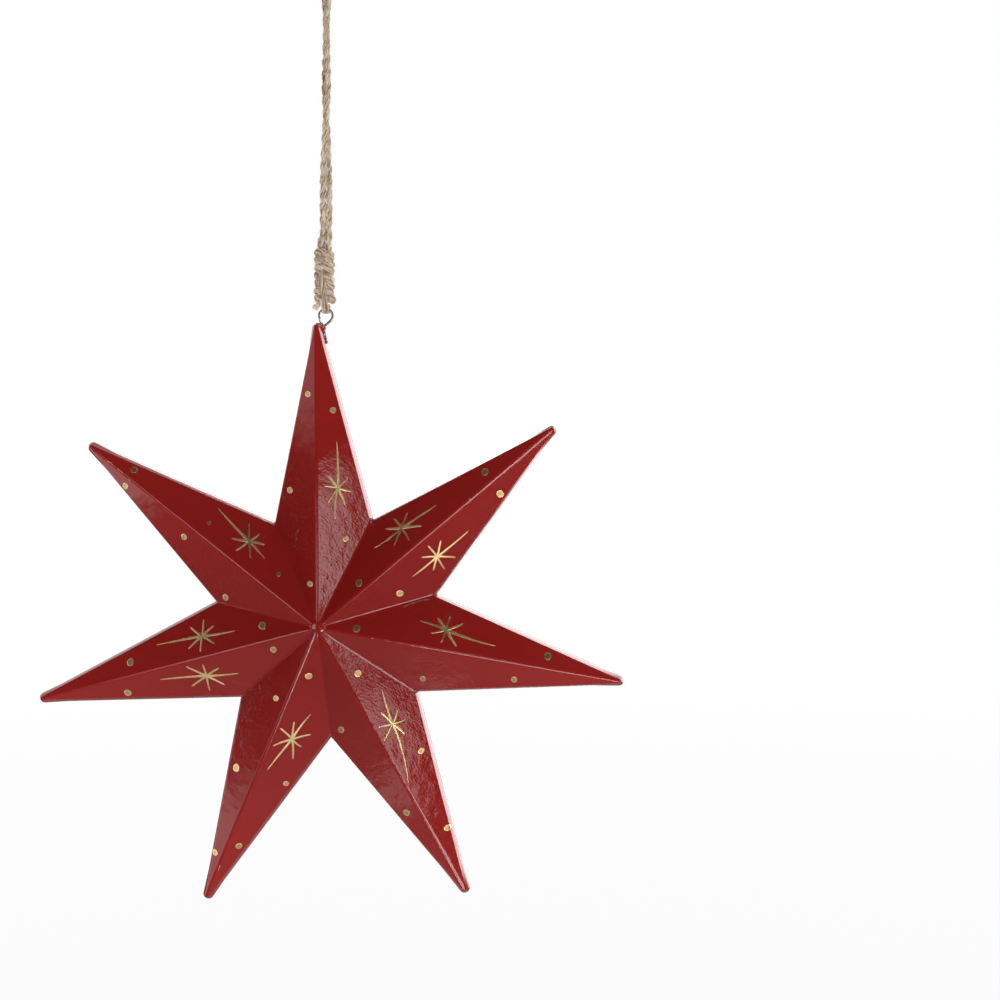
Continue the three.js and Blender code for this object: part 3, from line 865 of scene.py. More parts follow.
UP_STRAND = (
    (-1.45, 0, LOOP_END), (-1.45, 0, LOOP_END + 7.7), (-1.45, -0.2, -143), (-1.4, -0.8, -133),
    (-1.1, -1.4, -122), (-0.55, -1.7, -111), (0, -1.78, -99), (0.6, -1.68, -88),
    (1, -1.48, -78), (0.75, -1.62, -68), (0.55, -1.7, -57), (0.5, -1.72, -46),
    (1.1, -1.5, -37), (2.6, -0.9, -28), (4.6, -0.3, -18), (6, 0, -9), (5.9, 0, -3.4),
    (4, 0, 0.2))
LOOP_ROUTE = (*UP_STRAND, (0, 0, TWINE / 2), *((-x, -y, z) for x, y, z in UP_STRAND[::-1]))
UPPER_END = ((0, 0.8, 5 + TWINE), (0, 0.8, 5), (-0.2, 0.75, 2.6), (-0.45, 0.35, 1))
DESCENT = ((0, 0), (0.033, 0.276), (0.2, 0.54), (0.49, 0.736), (0.79, 0.828), (1, 1))
TURN_STEPS = 24  # to one turn of the winding
ROUTE_STEP = 0.4 * MM
# Of the dressing alone, in millimetres: the loop's second strand where it sinks into the knot, and
# loose fibres on the winding. The cut end's route is counted from the winding's last point.
SUNK_STRAND = ((1.6, 0, LOOP_END + 1.5), (1.6, -0.2, LOOP_END - 2), (1.4, -0.6, LOOP_END - 5),
               (0.6, -0.9, LOOP_END - 8))
LOOSE_FIBRES = (
    ((-3.2, -3.6, -172.0), (0.5, -5.9, -177.5), (1.9, -6.1, -183.4)),
    ((-2.6, -4.9, -174.6), (-0.6, -5.9, -178.4), (0.6, -6.0, -181.9)),
    ((3.2, -3.9, -162.4), (1.4, -5.6, -165.2), (0.9, -6.0, -168.6)))
LOOSE_FIBRE_RADIUS = 0.14 * MM
CUT_END = ((TOUCH - 0.6, -0.5, -0.1), (1.0, -0.75, -0.5), (2.2, -0.7, -1.0), (3.1, -0.4, -1.4))
CORE_FOOT = KNOT_BOTTOM + CORE_END
TAIL_ROOT = (-1.6, -1.5, CORE_FOOT - 2 * TOUCH + 0.3)
TAIL_WAY = (-0.58, -0.32, -0.75)
TAIL_STEPS = (0, 1.6, 3.2, 4.9)
TAIL_WIDTH = 2.0 * MM
INNER_WIDTH = 2.2 * CORE_RADIUS * MM
WINDING_WIDTH = 1.27  # of the twine's thickness, pressed flat in the winding
END_WIDTH = 1.25
FRONT_SWELL = 0.6  # mm by which uneven fibres widen a pressed strand
BIGHT_SWELL = 0.4
# Shares of half the twine's thickness: from its middle to a ply's, a ply's radius, how much a
# pressed ply widens, and a bundle's radius. Then the bundles' turn as a share of the plies'
PLY_OFFSET, PLY_RADIUS, PLY_WIDENING, YARN_RADIUS = 0.38, 0.52, 0.85, 0.22
YARN_TURN = 0.8


def in_metres(points, side=0.0):
    """Points in millimetres as metres, moved to the side."""
    return [((x + side) * MM, y * MM, z * MM) for x, y, z in points]


def route(points, side=0.0):
    """A smooth path in metres through points in millimetres, moved to the side."""
    return smooth_path(in_metres(points, side), ROUTE_STEP)


def winding_route():
    """Round the core, from behind the loop's strands down to the knot's foot."""
    lower, turns = -math.pi / 2, WRAP_TURNS * TURN
    upper = lower - turns
    low = KNOT_BOTTOM + TWINE / 2
    high = low + WRAP_TURNS * WRAP_PITCH
    start = (WRAP_RADIUS * math.cos(upper), WRAP_RADIUS * math.sin(upper), high)
    points = [tuple(a + b for a, b in zip(start, offset)) for offset in UPPER_END]
    steps = round(WRAP_TURNS * TURN_STEPS)
    for i in range(2, steps + 1):
        share = i / steps
        angle = upper + share * turns
        points.append((WRAP_RADIUS * math.cos(angle), WRAP_RADIUS * math.sin(angle),
                       high + share * (low - high)))
    return points + [(TWINE / 2, -WRAP_RADIUS, low), (TWINE, -WRAP_RADIUS, low)]


def bight_route():
    """Down the knot's front, under the eye's wire and up behind it."""
    start = KNOT_BOTTOM + TWINE / 2
    points = [(0, BIGHT_FRONT - inward * (BIGHT_FRONT + BIGHT_UNDER),
               start - down * (start - EYE_TOP)) for inward, down in DESCENT]
    for i in range(1, 5):
        angle = math.pi * i / 4
        points.append((0, -BIGHT_UNDER * math.cos(angle), EYE_TOP - BIGHT_UNDER * math.sin(angle)))
    return points + [(0, BIGHT_UNDER, (EYE_TOP + KNOT_BOTTOM) / 2), (0, BIGHT_UNDER, KNOT_BOTTOM)]


# How a bundle of fibre lies round its strand's path. Each row is a name, an operation and what it
# works on: a number, an input of the tree with a capital, or a name from an earlier row.
STRAND_SUMS = (
    ("ply", "MODULO", "number", "Plies"),
    ("yarn", "DIVIDE", "number", "Plies"),
    ("yarn", "FLOOR", "yarn"),
    ("ply turns", "DIVIDE", "along", "Ply turn"),
    ("ply start", "DIVIDE", "ply", "Plies"),
    ("ply start", "MULTIPLY", "ply start", TURN),
    ("ply angle", "MULTIPLY_ADD", "ply turns", TURN, "ply start"),
    ("ply angle", "MULTIPLY_ADD", "wobble", 3.0, "ply angle"),
    ("yarn turns", "DIVIDE", "along", "Yarn turn"),
    ("yarn start", "DIVIDE", "yarn", "Yarns"),
    ("yarn start", "MULTIPLY", "yarn start", TURN),
    ("yarn angle", "MULTIPLY_ADD", "yarn turns", -TURN, "yarn start"),
    ("yarn angle", "MULTIPLY_ADD", "ply", 1.3, "yarn angle"),
    ("ply across", "COSINE", "ply angle"),
    ("ply across", "MULTIPLY", "ply across", "Ply offset"),
    ("yarn across", "COSINE", "yarn angle"),
    ("across", "MULTIPLY_ADD", "yarn across", "Ply width", "ply across"),
    ("ply up", "SINE", "ply angle"),
    ("ply up", "MULTIPLY", "ply up", "Ply offset"),
    ("yarn up", "SINE", "yarn angle"),
    ("up", "MULTIPLY_ADD", "yarn up", "Ply thickness", "ply up"),
    ("spread", "POWER", "share", 1.6),
    ("spread", "MULTIPLY_ADD", "Flare", "spread", 1.0),
    ("from end", "SUBTRACT", "whole", "along"),
    ("from end", "MINIMUM", "along", "from end"),
    ("closing", "MAXIMUM", "Closed ends", 1e-6),
    ("closing", "DIVIDE", "from end", "closing"),
    ("closing", "MINIMUM", 1.0, "closing"),
    ("closing", "SUBTRACT", 1.0, "closing"),
    ("closing", "MULTIPLY", "closing", "closing"),
    ("closed", "SUBTRACT", 1.0, "closing"),
    ("closed", "SQRT", "closed"),
    ("spread", "MULTIPLY", "spread", "closed"),
    ("across", "MULTIPLY", "across", "spread"),
    ("up", "MULTIPLY", "up", "spread"),
    ("most swell", "MULTIPLY", "Unevenness", 4.0),
    ("swell", "SUBTRACT", "unevenness", 0.5),
    ("swell", "MULTIPLY_ADD", "swell", "most swell", 1.0),
    ("swell", "MAXIMUM", "swell", 0.15),
    ("narrowed", "MAXIMUM", "closed", 0.4),
    ("swell", "MULTIPLY", "swell", "narrowed"),
    ("radius", "MULTIPLY", "Yarn radius", "swell"))


def strand_tree():
    """Spun strands along a path: plies turn round the path, and bundles of fibre round each
    ply. With one ply and a flat section it is a strand pressed flat, and with a flare it is a
    frayed end."""
    tree, given = geometry_tree("spun_strand", {
        "Step": "float", "Plies": "int", "Yarns": "int", "Ply offset": "float",
        "Ply width": "float", "Ply thickness": "float", "Ply turn": "float",
        "Yarn turn": "float", "Yarn radius": "float", "Unevenness": "float", "Wander": "float",
        "Flare": "float", "Closed ends": "float", "Flat": "bool", "Across": "vector",
        "Seed": "float", "Material": "material"})
    even = node(tree, "GeometryNodeResampleCurve", {
        "Curve": given["Geometry"], "Length": given["Step"]}, mode="LENGTH")
    bundles = node(tree, "ShaderNodeMath", {0: given["Plies"], 1: given["Yarns"]},
                   operation="MULTIPLY")
    copies = node(tree, "GeometryNodeDuplicateElements", {"Geometry": even, "Amount": bundles},
                  domain="SPLINE")
    number = copies.outputs[1]
    reach = node(tree, "GeometryNodeSplineParameter").outputs
    found = {"number": number, "share": reach[0], "along": reach[1],
             "whole": node(tree, "GeometryNodeSplineLength").outputs[0]}
    apart = node(tree, "ShaderNodeMath", {0: number, 1: 7.31, 2: given["Seed"]},
                 operation="MULTIPLY_ADD")
    apart_again = node(tree, "ShaderNodeMath", {0: apart, 1: 3.3}, operation="ADD")
    for label, to_metre, seed, result in (
            ("wobble", 160.0, given["Seed"], 0), ("roaming", 330.0, apart, 1),
            ("unevenness", 420.0, apart_again, 0)):
        spot = node(tree, "ShaderNodeMath", {0: reach[1], 1: to_metre}, operation="MULTIPLY")
        noise = node(tree, "ShaderNodeTexNoise", {
            "Vector": node(tree, "ShaderNodeCombineXYZ", {0: spot}), "W": seed},
            noise_dimensions="4D")
        found[label] = noise.outputs[result]
    for label, operation, *sources in STRAND_SUMS:
        values = [source if isinstance(source, float) else found.get(source, given.get(source))
                  for source in sources]
        found[label] = node(tree, "ShaderNodeMath", dict(enumerate(values)),
                            operation=operation)
    way = node(tree, "GeometryNodeInputTangent")
    flat_up = node(tree, "ShaderNodeVectorMath", {0: given["Across"], 1: way},
                   operation="CROSS_PRODUCT")
    flat_up = node(tree, "ShaderNodeVectorMath", {0: flat_up}, operation="NORMALIZE")
    lift = node(tree, "GeometryNodeSwitch", {
        0: given["Flat"], 1: node(tree, "GeometryNodeInputNormal"), 2: flat_up},
        input_type="VECTOR")
    side = node(tree, "ShaderNodeVectorMath", {0: way, 1: lift}, operation="CROSS_PRODUCT")
    stray = node(tree, "ShaderNodeVectorMath", {0: found["roaming"], 1: (0.5, 0.5, 0.5)},
                 operation="SUBTRACT")
    stray = node(tree, "ShaderNodeVectorMath", {0: stray, "Scale": given["Wander"]},
                 operation="SCALE")
    offset = (0.0, 0.0, 0.0)
    for heading, size in ((side, "across"), (lift, "up"), (stray, "spread")):
        offset = node(tree, "ShaderNodeVectorMath", {0: heading, 1: found[size], 2: offset},
                      operation="MULTIPLY_ADD")
    noted = node(tree, "GeometryNodeSetPosition", {"Geometry": copies, "Offset": offset})
    for label, value in (("along", reach[1]), ("yarn", number)):
        noted = node(tree, "GeometryNodeStoreNamedAttribute", {
            "Geometry": noted, "Name": label, "Value": value}, data_type="FLOAT")
    profile = node(tree, "GeometryNodeCurvePrimitiveCircle", {"Resolution": 6, "Radius": 1.0})
    ringed = node(tree, "GeometryNodeStoreNamedAttribute", {
        "Geometry": profile, "Name": "around",
        "Value": node(tree, "GeometryNodeSplineParameter")}, data_type="FLOAT")
    tube = node(tree, "GeometryNodeCurveToMesh", {
        "Curve": noted, "Profile Curve": ringed, "Scale": found["radius"], "Fill Caps": True})
    return end_tree(tree, tube, given["Material"])


def fibre_tree():
    """Loose fibres that stand off a strand's surface, each a thin tapered arc."""
    tree, given = geometry_tree("stray_fibres", {
        "Density": "float", "Length": "float", "Thickness": "float", "Lift": "float",
        "Seed": "int", "Material": "material"})
    spread = node(tree, "GeometryNodeDistributePointsOnFaces", {
        "Mesh": given["Geometry"], "Density": given["Density"], "Seed": given["Seed"]})
    arc = node(tree, "GeometryNodeCurveQuadraticBezier", {
        "Resolution": 6, "Start": (0, 0, -0.05), "Middle": (0.0, 0.12, 0.55),
        "End": (0.0, 0.55, 0.9)})
    share = node(tree, "GeometryNodeSplineParameter").outputs[0]
    thin = node(tree, "ShaderNodeMapRange", {0: share, 3: 1.0, 4: 0.3})
    ratio = node(tree, "ShaderNodeMath", {0: given["Thickness"], 1: given["Length"]},
                 operation="DIVIDE")
    wide = node(tree, "ShaderNodeMath", {0: thin.outputs[0], 1: ratio}, operation="MULTIPLY")
    profile = node(tree, "GeometryNodeCurvePrimitiveCircle", {"Resolution": 3, "Radius": 0.5})
    hair = node(tree, "GeometryNodeCurveToMesh", {
        "Curve": arc, "Profile Curve": profile, "Scale": wide, "Fill Caps": True})
    loose = node(tree, "FunctionNodeRandomValue", {
        0: (-1, -1, -1), 1: (1, 1, 1), "Seed": given["Seed"]}, data_type="FLOAT_VECTOR")
    raised = node(tree, "ShaderNodeVectorMath", {0: spread.outputs["Normal"],
                                                 "Scale": given["Lift"]}, operation="SCALE")
    heading = node(tree, "ShaderNodeVectorMath", {0: loose.outputs[0], 1: raised},
                   operation="ADD")
    aimed = node(tree, "FunctionNodeAlignRotationToVector", {"Vector": heading}, axis="Z")
    seed = node(tree, "ShaderNodeMath", {0: given["Seed"], 1: 11.0}, operation="ADD")
    size = node(tree, "FunctionNodeRandomValue", {2: 0.25, 3: 1.0, "Seed": seed},
                data_type="FLOAT")
    scale = node(tree, "ShaderNodeMath", {0: size.outputs[1], 1: given["Length"]},
                 operation="MULTIPLY")
    hairs = node(tree, "GeometryNodeInstanceOnPoints", {
        "Points": spread, "Instance": hair, "Rotation": aimed, "Scale": scale})
    return end_tree(tree, hairs, given["Material"])


def rod_tree():
    """A rod along a path, as even as drawn wire or as lumpy as a line of glue."""
    tree, given = geometry_tree("rod", {
        "Step": "float", "Radius": "float", "Sides": "int", "Unevenness": "float",
        "Burrs": "float", "Lump size": "float", "Seed": "float", "Material": "material"})
    even = node(tree, "GeometryNodeResampleCurve", {"Curve": given["Geometry"],
                                                    "Length": given["Step"]}, mode="LENGTH")
    fine = node(tree, "ShaderNodeMath", {0: 1.0, 1: given["Lump size"]}, operation="DIVIDE")
    lumps = node(tree, "ShaderNodeTexNoise", {
        "Vector": node(tree, "GeometryNodeInputPosition"), "W": given["Seed"], "Scale": fine,
        "Detail": 3.0, "Roughness": 0.7}, noise_dimensions="4D")
    swing = node(tree, "ShaderNodeMapRange", {0: lumps.outputs[0], 1: 0.25, 2: 0.75, 3: -1.0,
                                              4: 1.0})
    swell = node(tree, "ShaderNodeMath", {0: swing.outputs[0], 1: given["Unevenness"], 2: 1.0},
                 operation="MULTIPLY_ADD")
    rare = node(tree, "ShaderNodeMapRange", {0: lumps.outputs[0], 1: 0.7, 2: 0.82})
    burred = node(tree, "ShaderNodeMath", {0: rare.outputs[0], 1: given["Burrs"], 2: swell},
                  operation="MULTIPLY_ADD")
    least = node(tree, "ShaderNodeMath", {0: burred, 1: 0.12}, operation="MAXIMUM")
    radius = node(tree, "ShaderNodeMath", {0: least, 1: given["Radius"]}, operation="MULTIPLY")
    profile = node(tree, "GeometryNodeCurvePrimitiveCircle", {"Resolution": given["Sides"],
                                                              "Radius": 1.0})
    tube = node(tree, "GeometryNodeCurveToMesh", {
        "Curve": even, "Profile Curve": profile, "Scale": radius, "Fill Caps": True})
    return end_tree(tree, tube, given["Material"])


def rod_along(name, points, radius, sides, seed, material, cyclic=False, **settings):
    """A rod along a path in metres."""
    usual = {"step": 0.4 * MM, "unevenness": 0.02, "burrs": 0.0, "lump_size": 2 * MM}
    return grow(path_piece(name, points, cyclic), kept(bpy.data.node_groups, "rod", rod_tree),
                radius=radius, sides=sides, seed=seed, material=material,
                **{**usual, **settings})


def strand(name, points, seed, **settings):
    """A strand along a path in metres, with what settings change of a plain bundle."""
    usual = {"step": 0.45 * MM, "plies": 1, "yarns": 16, "ply_offset": 0.0, "ply_turn": 1.0,
             "yarn_turn": 0.06, "yarn_radius": 0.3 * MM, "unevenness": 0.4,
             "wander": 0.3 * MM, "flare": 0.0, "closed_ends": 0.0, "flat": False,
             "across": (0, 0, 1)}
    tree = kept(bpy.data.node_groups, "spun_strand", strand_tree)
    return grow(path_piece(name, points), tree, seed=seed,
                **{**usual, "material": jute_material(), **settings})


def twine_along(name, points, seed, width=1.0, **settings):
    """Two-ply twine along a path in metres. The width is along the side of a flat section, as a
    share of the twine's thickness."""
    twine = bpy.context.scene.twine_sizes
    half = twine.thickness / 2
    return strand(name, points, seed, **{
        "plies": 2, "yarns": twine.yarns, "ply_offset": half * PLY_OFFSET,
        "ply_width": half * (PLY_RADIUS + PLY_WIDENING * (width - 1)),
        "ply_thickness": half * PLY_RADIUS, "ply_turn": twine.ply_turn,
        "yarn_turn": twine.ply_turn * YARN_TURN, "yarn_radius": half * YARN_RADIUS, **settings})


def flat_strand(name, points, across, width, thickness, seed, **settings):
    """A strand pressed flat or frayed, as one bundle of fibres along a path in metres."""
    yarn = min(thickness * 0.26, 0.32 * MM)
    return strand(name, points, seed, **{
        "ply_width": width / 2 - yarn, "ply_thickness": max(thickness / 2 - yarn, 0.02 * MM),
        "yarn_radius": yarn, "flat": True, "across": across, **settings})


def fibres_on(source, name, seed, length):
    """Stray fibres on a strand, as a piece of their own."""
    copy = show(name, source.data.copy())
    return grow(copy, kept(bpy.data.node_groups, "stray_fibres", fibre_tree),
                density=bpy.context.scene.twine_sizes.stray, length=length,
                thickness=0.1 * MM, lift=0.7, seed=seed, material=fibre_material())


class ORNAMENT_OT_twine_loop(bpy.types.Operator):
    """Lays the loop of two-ply twine that the star hangs on"""

    bl_idname = "ornament.twine_loop"
    bl_label = "Twine loop"

    def execute(self, context):
        path = route(LOOP_ROUTE)
        loop = twine_along("twine_loop", path, seed=1.7)
        fibres = fibres_on(loop, "loop_fibres", 5, 3.2 * MM)
        for piece in (loop, fibres):
            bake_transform(piece)
        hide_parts("hanging_cord")
        return {"FINISHED"}


class ORNAMENT_OT_knot(bpy.types.Operator):
    """Winds the knot: core, winding, cut ends and the strand down its front"""

    bl_idname = "ornament.knot"
    bl_label = "Knot"

    def execute(self, context):
        winding = twine_along("knot_turns", route(winding_route(), KNOT_SIDE), seed=4.1,
                              width=WINDING_WIDTH, flat=True, closed_ends=1.2 * MM)
        core = in_metres([(0, 0, KNOT_TOP), (0, 0, CORE_FOOT)], KNOT_SIDE)
        inner = flat_strand("knot_inner_strands", core, (1, 0, 0), INNER_WIDTH, INNER_WIDTH,
                            seed=2.2)
        foot = KNOT_BOTTOM + TWINE / 2 + BIGHT_PLAY
        front = [(0, BIGHT_FRONT, foot), (0, BIGHT_FRONT, foot + 0.35 * STRAND_RISE),
                 (-0.4 * STRAND_LEAN, BIGHT_FRONT + 0.4, foot + 0.7 * STRAND_RISE),
                 (-STRAND_LEAN, BIGHT_FRONT + 1.6, foot + STRAND_RISE)]
        upper = twine_along("knot_upper_strand", route(SUNK_STRAND), seed=12.5,
                            closed_ends=2 * MM)
        strand_up = flat_strand("knot_front_strand", route(front, KNOT_SIDE), (1, 0, 0),
                                (BIGHT_WIDTH - FRONT_SWELL) * MM, BIGHT_THICK * MM, seed=8.4,
                                closed_ends=10 * MM)
        last = np.array(winding_route()[-1])
        end_way = in_metres([last + step for step in CUT_END], KNOT_SIDE)
        end = twine_along("cut_end", end_way, seed=6.3, width=END_WIDTH, flat=True,
                          closed_ends=1.3 * MM, ply_turn=11 * MM)
        tail_way = [np.array(TAIL_ROOT) + np.array(TAIL_WAY) * t for t in TAIL_STEPS]
        tail = flat_strand("frayed_tail", in_metres(tail_way, KNOT_SIDE), (0, 1, 0), TAIL_WIDTH,
                           TAIL_WIDTH, seed=3.6, yarns=34, flare=1.5, wander=1.0 * MM,
                           yarn_radius=0.16 * MM, material=fibre_material())
        stood_for = {winding: "knot_winding", inner: "knot_core", strand_up: "knot_strand",
                     end: "cord_end", tail: "cord_tail"}
        fibres = fibres_on(winding, "knot_fibres", 9, 3 * MM)
        loose = [rod_along(f"loose_fibre_{i + 1}", route(way), LOOSE_FIBRE_RADIUS, 6, 3.0 + i,
                           fibre_material(), unevenness=0.3)
                 for i, way in enumerate(LOOSE_FIBRES)]
        for piece in (*stood_for, fibres, upper, *loose):
            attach(piece, "knot")
        for piece, solid in stood_for.items():
            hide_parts(solid)
        return {"FINISHED"}


class ORNAMENT_OT_bight(bpy.types.Operator):
    """Leads the pressed strand under the wire eye and up behind it"""

    bl_idname = "ornament.bight"
    bl_label = "Bight under the eye"

    def execute(self, context):
        bight = flat_strand("eye_strand", route(bight_route()), (1, 0, 0),
                            (BIGHT_WIDTH - BIGHT_SWELL) * MM, BIGHT_THICK * MM, seed=8.4)
        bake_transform(bight)
        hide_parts("eye_bight")
        return {"FINISHED"}


# The star's pieces


def star_and_place(context):
    shape = StarShape(context.scene.star_sizes)
    return shape, shape.place(context.scene.wire_sizes)


def put_on_star(obj, place, slot_name, *solids):
    """Sets a piece made in the star's own directions in its place, riding on the star."""
    obj.data.transform(place)
    obj.data.update()
    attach(obj, "star")
    if solids:
        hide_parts(*solids)
    return obj


UNDULATION_SIZE = 26 * MM  # from one wave to the next
RIPPLE_SIZE = 4.5 * MM
# A flat drop of lacquer on the raised middle, in millimetres: its spot, radii and how far its
# middle lies under the face
DROP_SPOT = (0.3, 0.2)
DROP_RADII = (7.0, 2.4, 6.0)
DROP_SUNK = 1.16


class ORNAMENT_OT_star_halves(bpy.types.Operator):
    """Moulds the two hollow halves of the star and lets a drop of lacquer dry on its middle"""

    bl_idname = "ornament.star_halves"
    bl_label = "Star halves"

    def execute(self, context):
        sizes = context.scene.star_sizes
        shape, place = star_and_place(context)
        tree = star_tree()
        for name, side, seed, solid in (("front_half", -1, 3.0, "front_shell"),
                                        ("back_half", 1, 8.0, "back_shell")):
            point = one_point(shape, side)
            point.name = name
            half = grow(point, tree, points=sizes.points, undulation=sizes.undulation,
                        undulation_size=UNDULATION_SIZE, ripple=sizes.ripple,
                        ripple_size=RIPPLE_SIZE, seed=seed, material=lacquer_material())
            tidy_mesh(half)
            put_on_star(half, place, "red_lacquer", solid)
        x, z = DROP_SPOT
        deep = float(shape.depth(np.array([x * MM]), np.array([z * MM]))[0]) / MM
        drop = blob("lacquer_drop", (((x, DROP_SUNK - deep, z), DROP_RADII),),
                    lacquer_material())
        put_on_star(drop, place, "red_lacquer")
        return {"FINISHED"}


SEAM_RADIUS = 0.08 * MM  # of the line of glue
SEAM_SUNK = 0.05 * MM  # how far its middle lies inside the side wall
SEAM_STEPS = 60  # along the edge of half a point
SEAM_ARC_STEPS = 6  # round the end of a point
BEAD_DROP = 9.4 * MM  # below the end of the top point, a bead of glue
BEAD_OUT = 0.3 * MM  # from the side wall to its middle
BEAD_RADIUS = 0.85 * MM
BEAD_STRETCH = 1.15
BEAD_BACK = -0.3 * MM  # where it is flat against the wall


class ORNAMENT_OT_seam(bpy.types.Operator):
    """Runs the line of glue and lacquer burrs along the seam, with a bead by the eye"""

    bl_idname = "ornament.seam"
    bl_label = "Seam line"

    def execute(self, context):
        shape, place = star_and_place(context)
        draft = context.scene.star_sizes.rim_draft
        half = shape.outline(draft - SEAM_SUNK,
                             [i / SEAM_STEPS for i in range(1, SEAM_STEPS + 1)],
                             [i / SEAM_ARC_STEPS for i in range(SEAM_ARC_STEPS + 1)])
        loop = []
        for k in range(context.scene.star_sizes.points):
            turned = 2 * shape.half_step * k
            for x, z in [(-x, z) for x, z in half[:0:-1]] + [tuple(p) for p in half[:-1]]:
                loop.append((x * math.cos(turned) + z * math.sin(turned), 0.0,
                             z * math.cos(turned) - x * math.sin(turned)))
        seam = rod_along("seam_line", loop, SEAM_RADIUS, 6, 2.0, glue_material(), cyclic=True,
                         unevenness=0.4, burrs=7.0, lump_size=1.8 * MM)
        put_on_star(seam, place, "lacquered_glue")
        height = shape.point_end - BEAD_DROP
        side = ((shape.sharp - height) * math.tan(shape.angle)
                + (draft + BEAD_OUT) / math.cos(shape.angle))
        bead = bpy.data.meshes.new("seam_drop")
        work = bmesh.new()
        bmesh.ops.create_icosphere(work, subdivisions=3, radius=BEAD_RADIUS)
        for v in work.verts:
            v.co.z *= BEAD_STRETCH
            v.co.x = max(v.co.x, BEAD_BACK)
        work.to_mesh(bead)
        work.free()
        bead.shade_smooth()
        bead.materials.append(glue_material())
        bead.transform(Matrix.Translation((side, 0, height)))
        put_on_star(show("seam_drop", bead), place, "lacquered_glue", "seam_bead")
        return {"FINISHED"}


# Lumps of lacquer over the top point's end and down to the drop at the seam: middle and radii,
# in the star's own directions, in millimetres
PAINT_BLOBS = (
    ((0.2, 0, 148.9), (2.9, 4.4, 2.2)), ((1.9, 0, 148.2), (1.9, 2.6, 1.9)),
    ((3.2, -0.5, 148.0), (1.5, 1.6, 1.5)), ((3.4, -0.4, 146.4), (1.0, 1.2, 1.3)),
    ((3.7, -0.3, 144.9), (0.8, 1.0, 1.3)), ((4.0, -0.2, 143.4), (0.8, 0.9, 1.3)),
    ((4.2, -0.1, 142.0), (0.9, 1.0, 1.3)))
LUMP_STEP = 0.16  # mm between points of such a lump's skin
PULP_BLOBS = (((4.2, -0.6, 147.2), (0.8, 0.8, 0.8)), ((4.0, -0.5, 146.4), (0.6, 0.6, 0.7)))


def blob(name, lumps, material):
    """Lumps, given in millimetres, run together in one smooth skin."""
    mass = bpy.data.metaballs.new(name)
    mass.resolution = LUMP_STEP
    for middle, radii in lumps:
        lump = mass.elements.new(type="ELLIPSOID")
        lump.co = middle
        lump.radius = 1.0
        lump.size_x, lump.size_y, lump.size_z = radii
    held = show(name, mass)
    graph = bpy.context.evaluated_depsgraph_get()
    graph.update()
    mesh = bpy.data.meshes.new_from_object(held.evaluated_get(graph))
    bpy.data.objects.remove(held)
    mesh.transform(Matrix.Scale(MM, 4))
    mesh.name = name
    mesh.materials.clear()
    mesh.materials.append(material)
    mesh.shade_smooth()
    return show(name, mesh)


# The wire's route: degrees round its ring, and shares of the way from one spot to the next
RING_START = 200
RING_END = -40
RING_STEP = 15
SLANT = ((0.354, 0.339), (0.695, 0.601), (0.902, 0.788), (1, 1))
BURIED = ((0.14, 0.105), (0.504, 0.29), (0.824, 0.474), (0.968, 0.658), (1, 1))
CUT_LEG = ((-0.575, 0.44, -1.235), (-0.81, 0.28, -0.855))  # in the ring's radii, from its middle
# In millimetres, right of the top point's axis and down from its end
ENTRY_SIDE = 2.95
ENTRY_DROP = 2.5
SHANK_SIDE = 0.45
SHANK_LENGTH = 19.0
WIRE_STEP = 0.2 * MM


def eye_route(wire):
    """From the cut end beside the point, round the ring, and down into the seam, in metres from
    the ring's middle."""
    radius = wire.eye_radius

    def ring(degrees):
        angle = math.radians(degrees)
        return (radius * math.cos(angle), 0.0, radius * math.sin(angle))

    def between(start, end, shares):
        return [(start[0] + a * (end[0] - start[0]), 0.0, start[2] + b * (end[2] - start[2]))
                for a, b in shares]

    entry = (ENTRY_SIDE * MM - wire.eye_side, 0.0, -wire.eye_rise - ENTRY_DROP * MM)
    end = (SHANK_SIDE * MM - wire.eye_side, 0.0, entry[2] - SHANK_LENGTH * MM)
    return ([tuple(radius * c for c in p) for p in CUT_LEG]
            + [ring(d) for d in range(RING_START, RING_END - 1, -RING_STEP)]
            + between(ring(RING_END), entry, SLANT) + between(entry, end, BURIED))


class ORNAMENT_OT_wire_eye(bpy.types.Operator):
    """Bends the wire eye and sets it in its plug of pulp and glue"""

    bl_idname = "ornament.wire_eye"
    bl_label = "Wire eye"

    def execute(self, context):
        wire = context.scene.wire_sizes
        shape, place = star_and_place(context)
        middle = np.array((wire.eye_side, 0.0, shape.point_end + wire.eye_rise))
        points = smooth_path([np.array(p) + middle for p in eye_route(wire)], WIRE_STEP)
        eye = rod_along("wire_eye", points, wire.thickness / 2, 20, 1.0, galvanised_steel(wire),
                        step=0.22 * MM)
        put_on_star(eye, place, "galvanised_wire", "hanging_eye")
        put_on_star(blob("paint_round_eye", PAINT_BLOBS, glue_material()), place,
                    "lacquered_glue")
        put_on_star(blob("pulp_crumb", PULP_BLOBS, pulp_material()), place, "pulp_and_glue")
        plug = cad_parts["tip_plug"]
        plug.data.materials.clear()
        plug.data.materials.append(pulp_material())
        return {"FINISHED"}


# Gold marks on a face, in the star's own directions, in millimetres from its middle

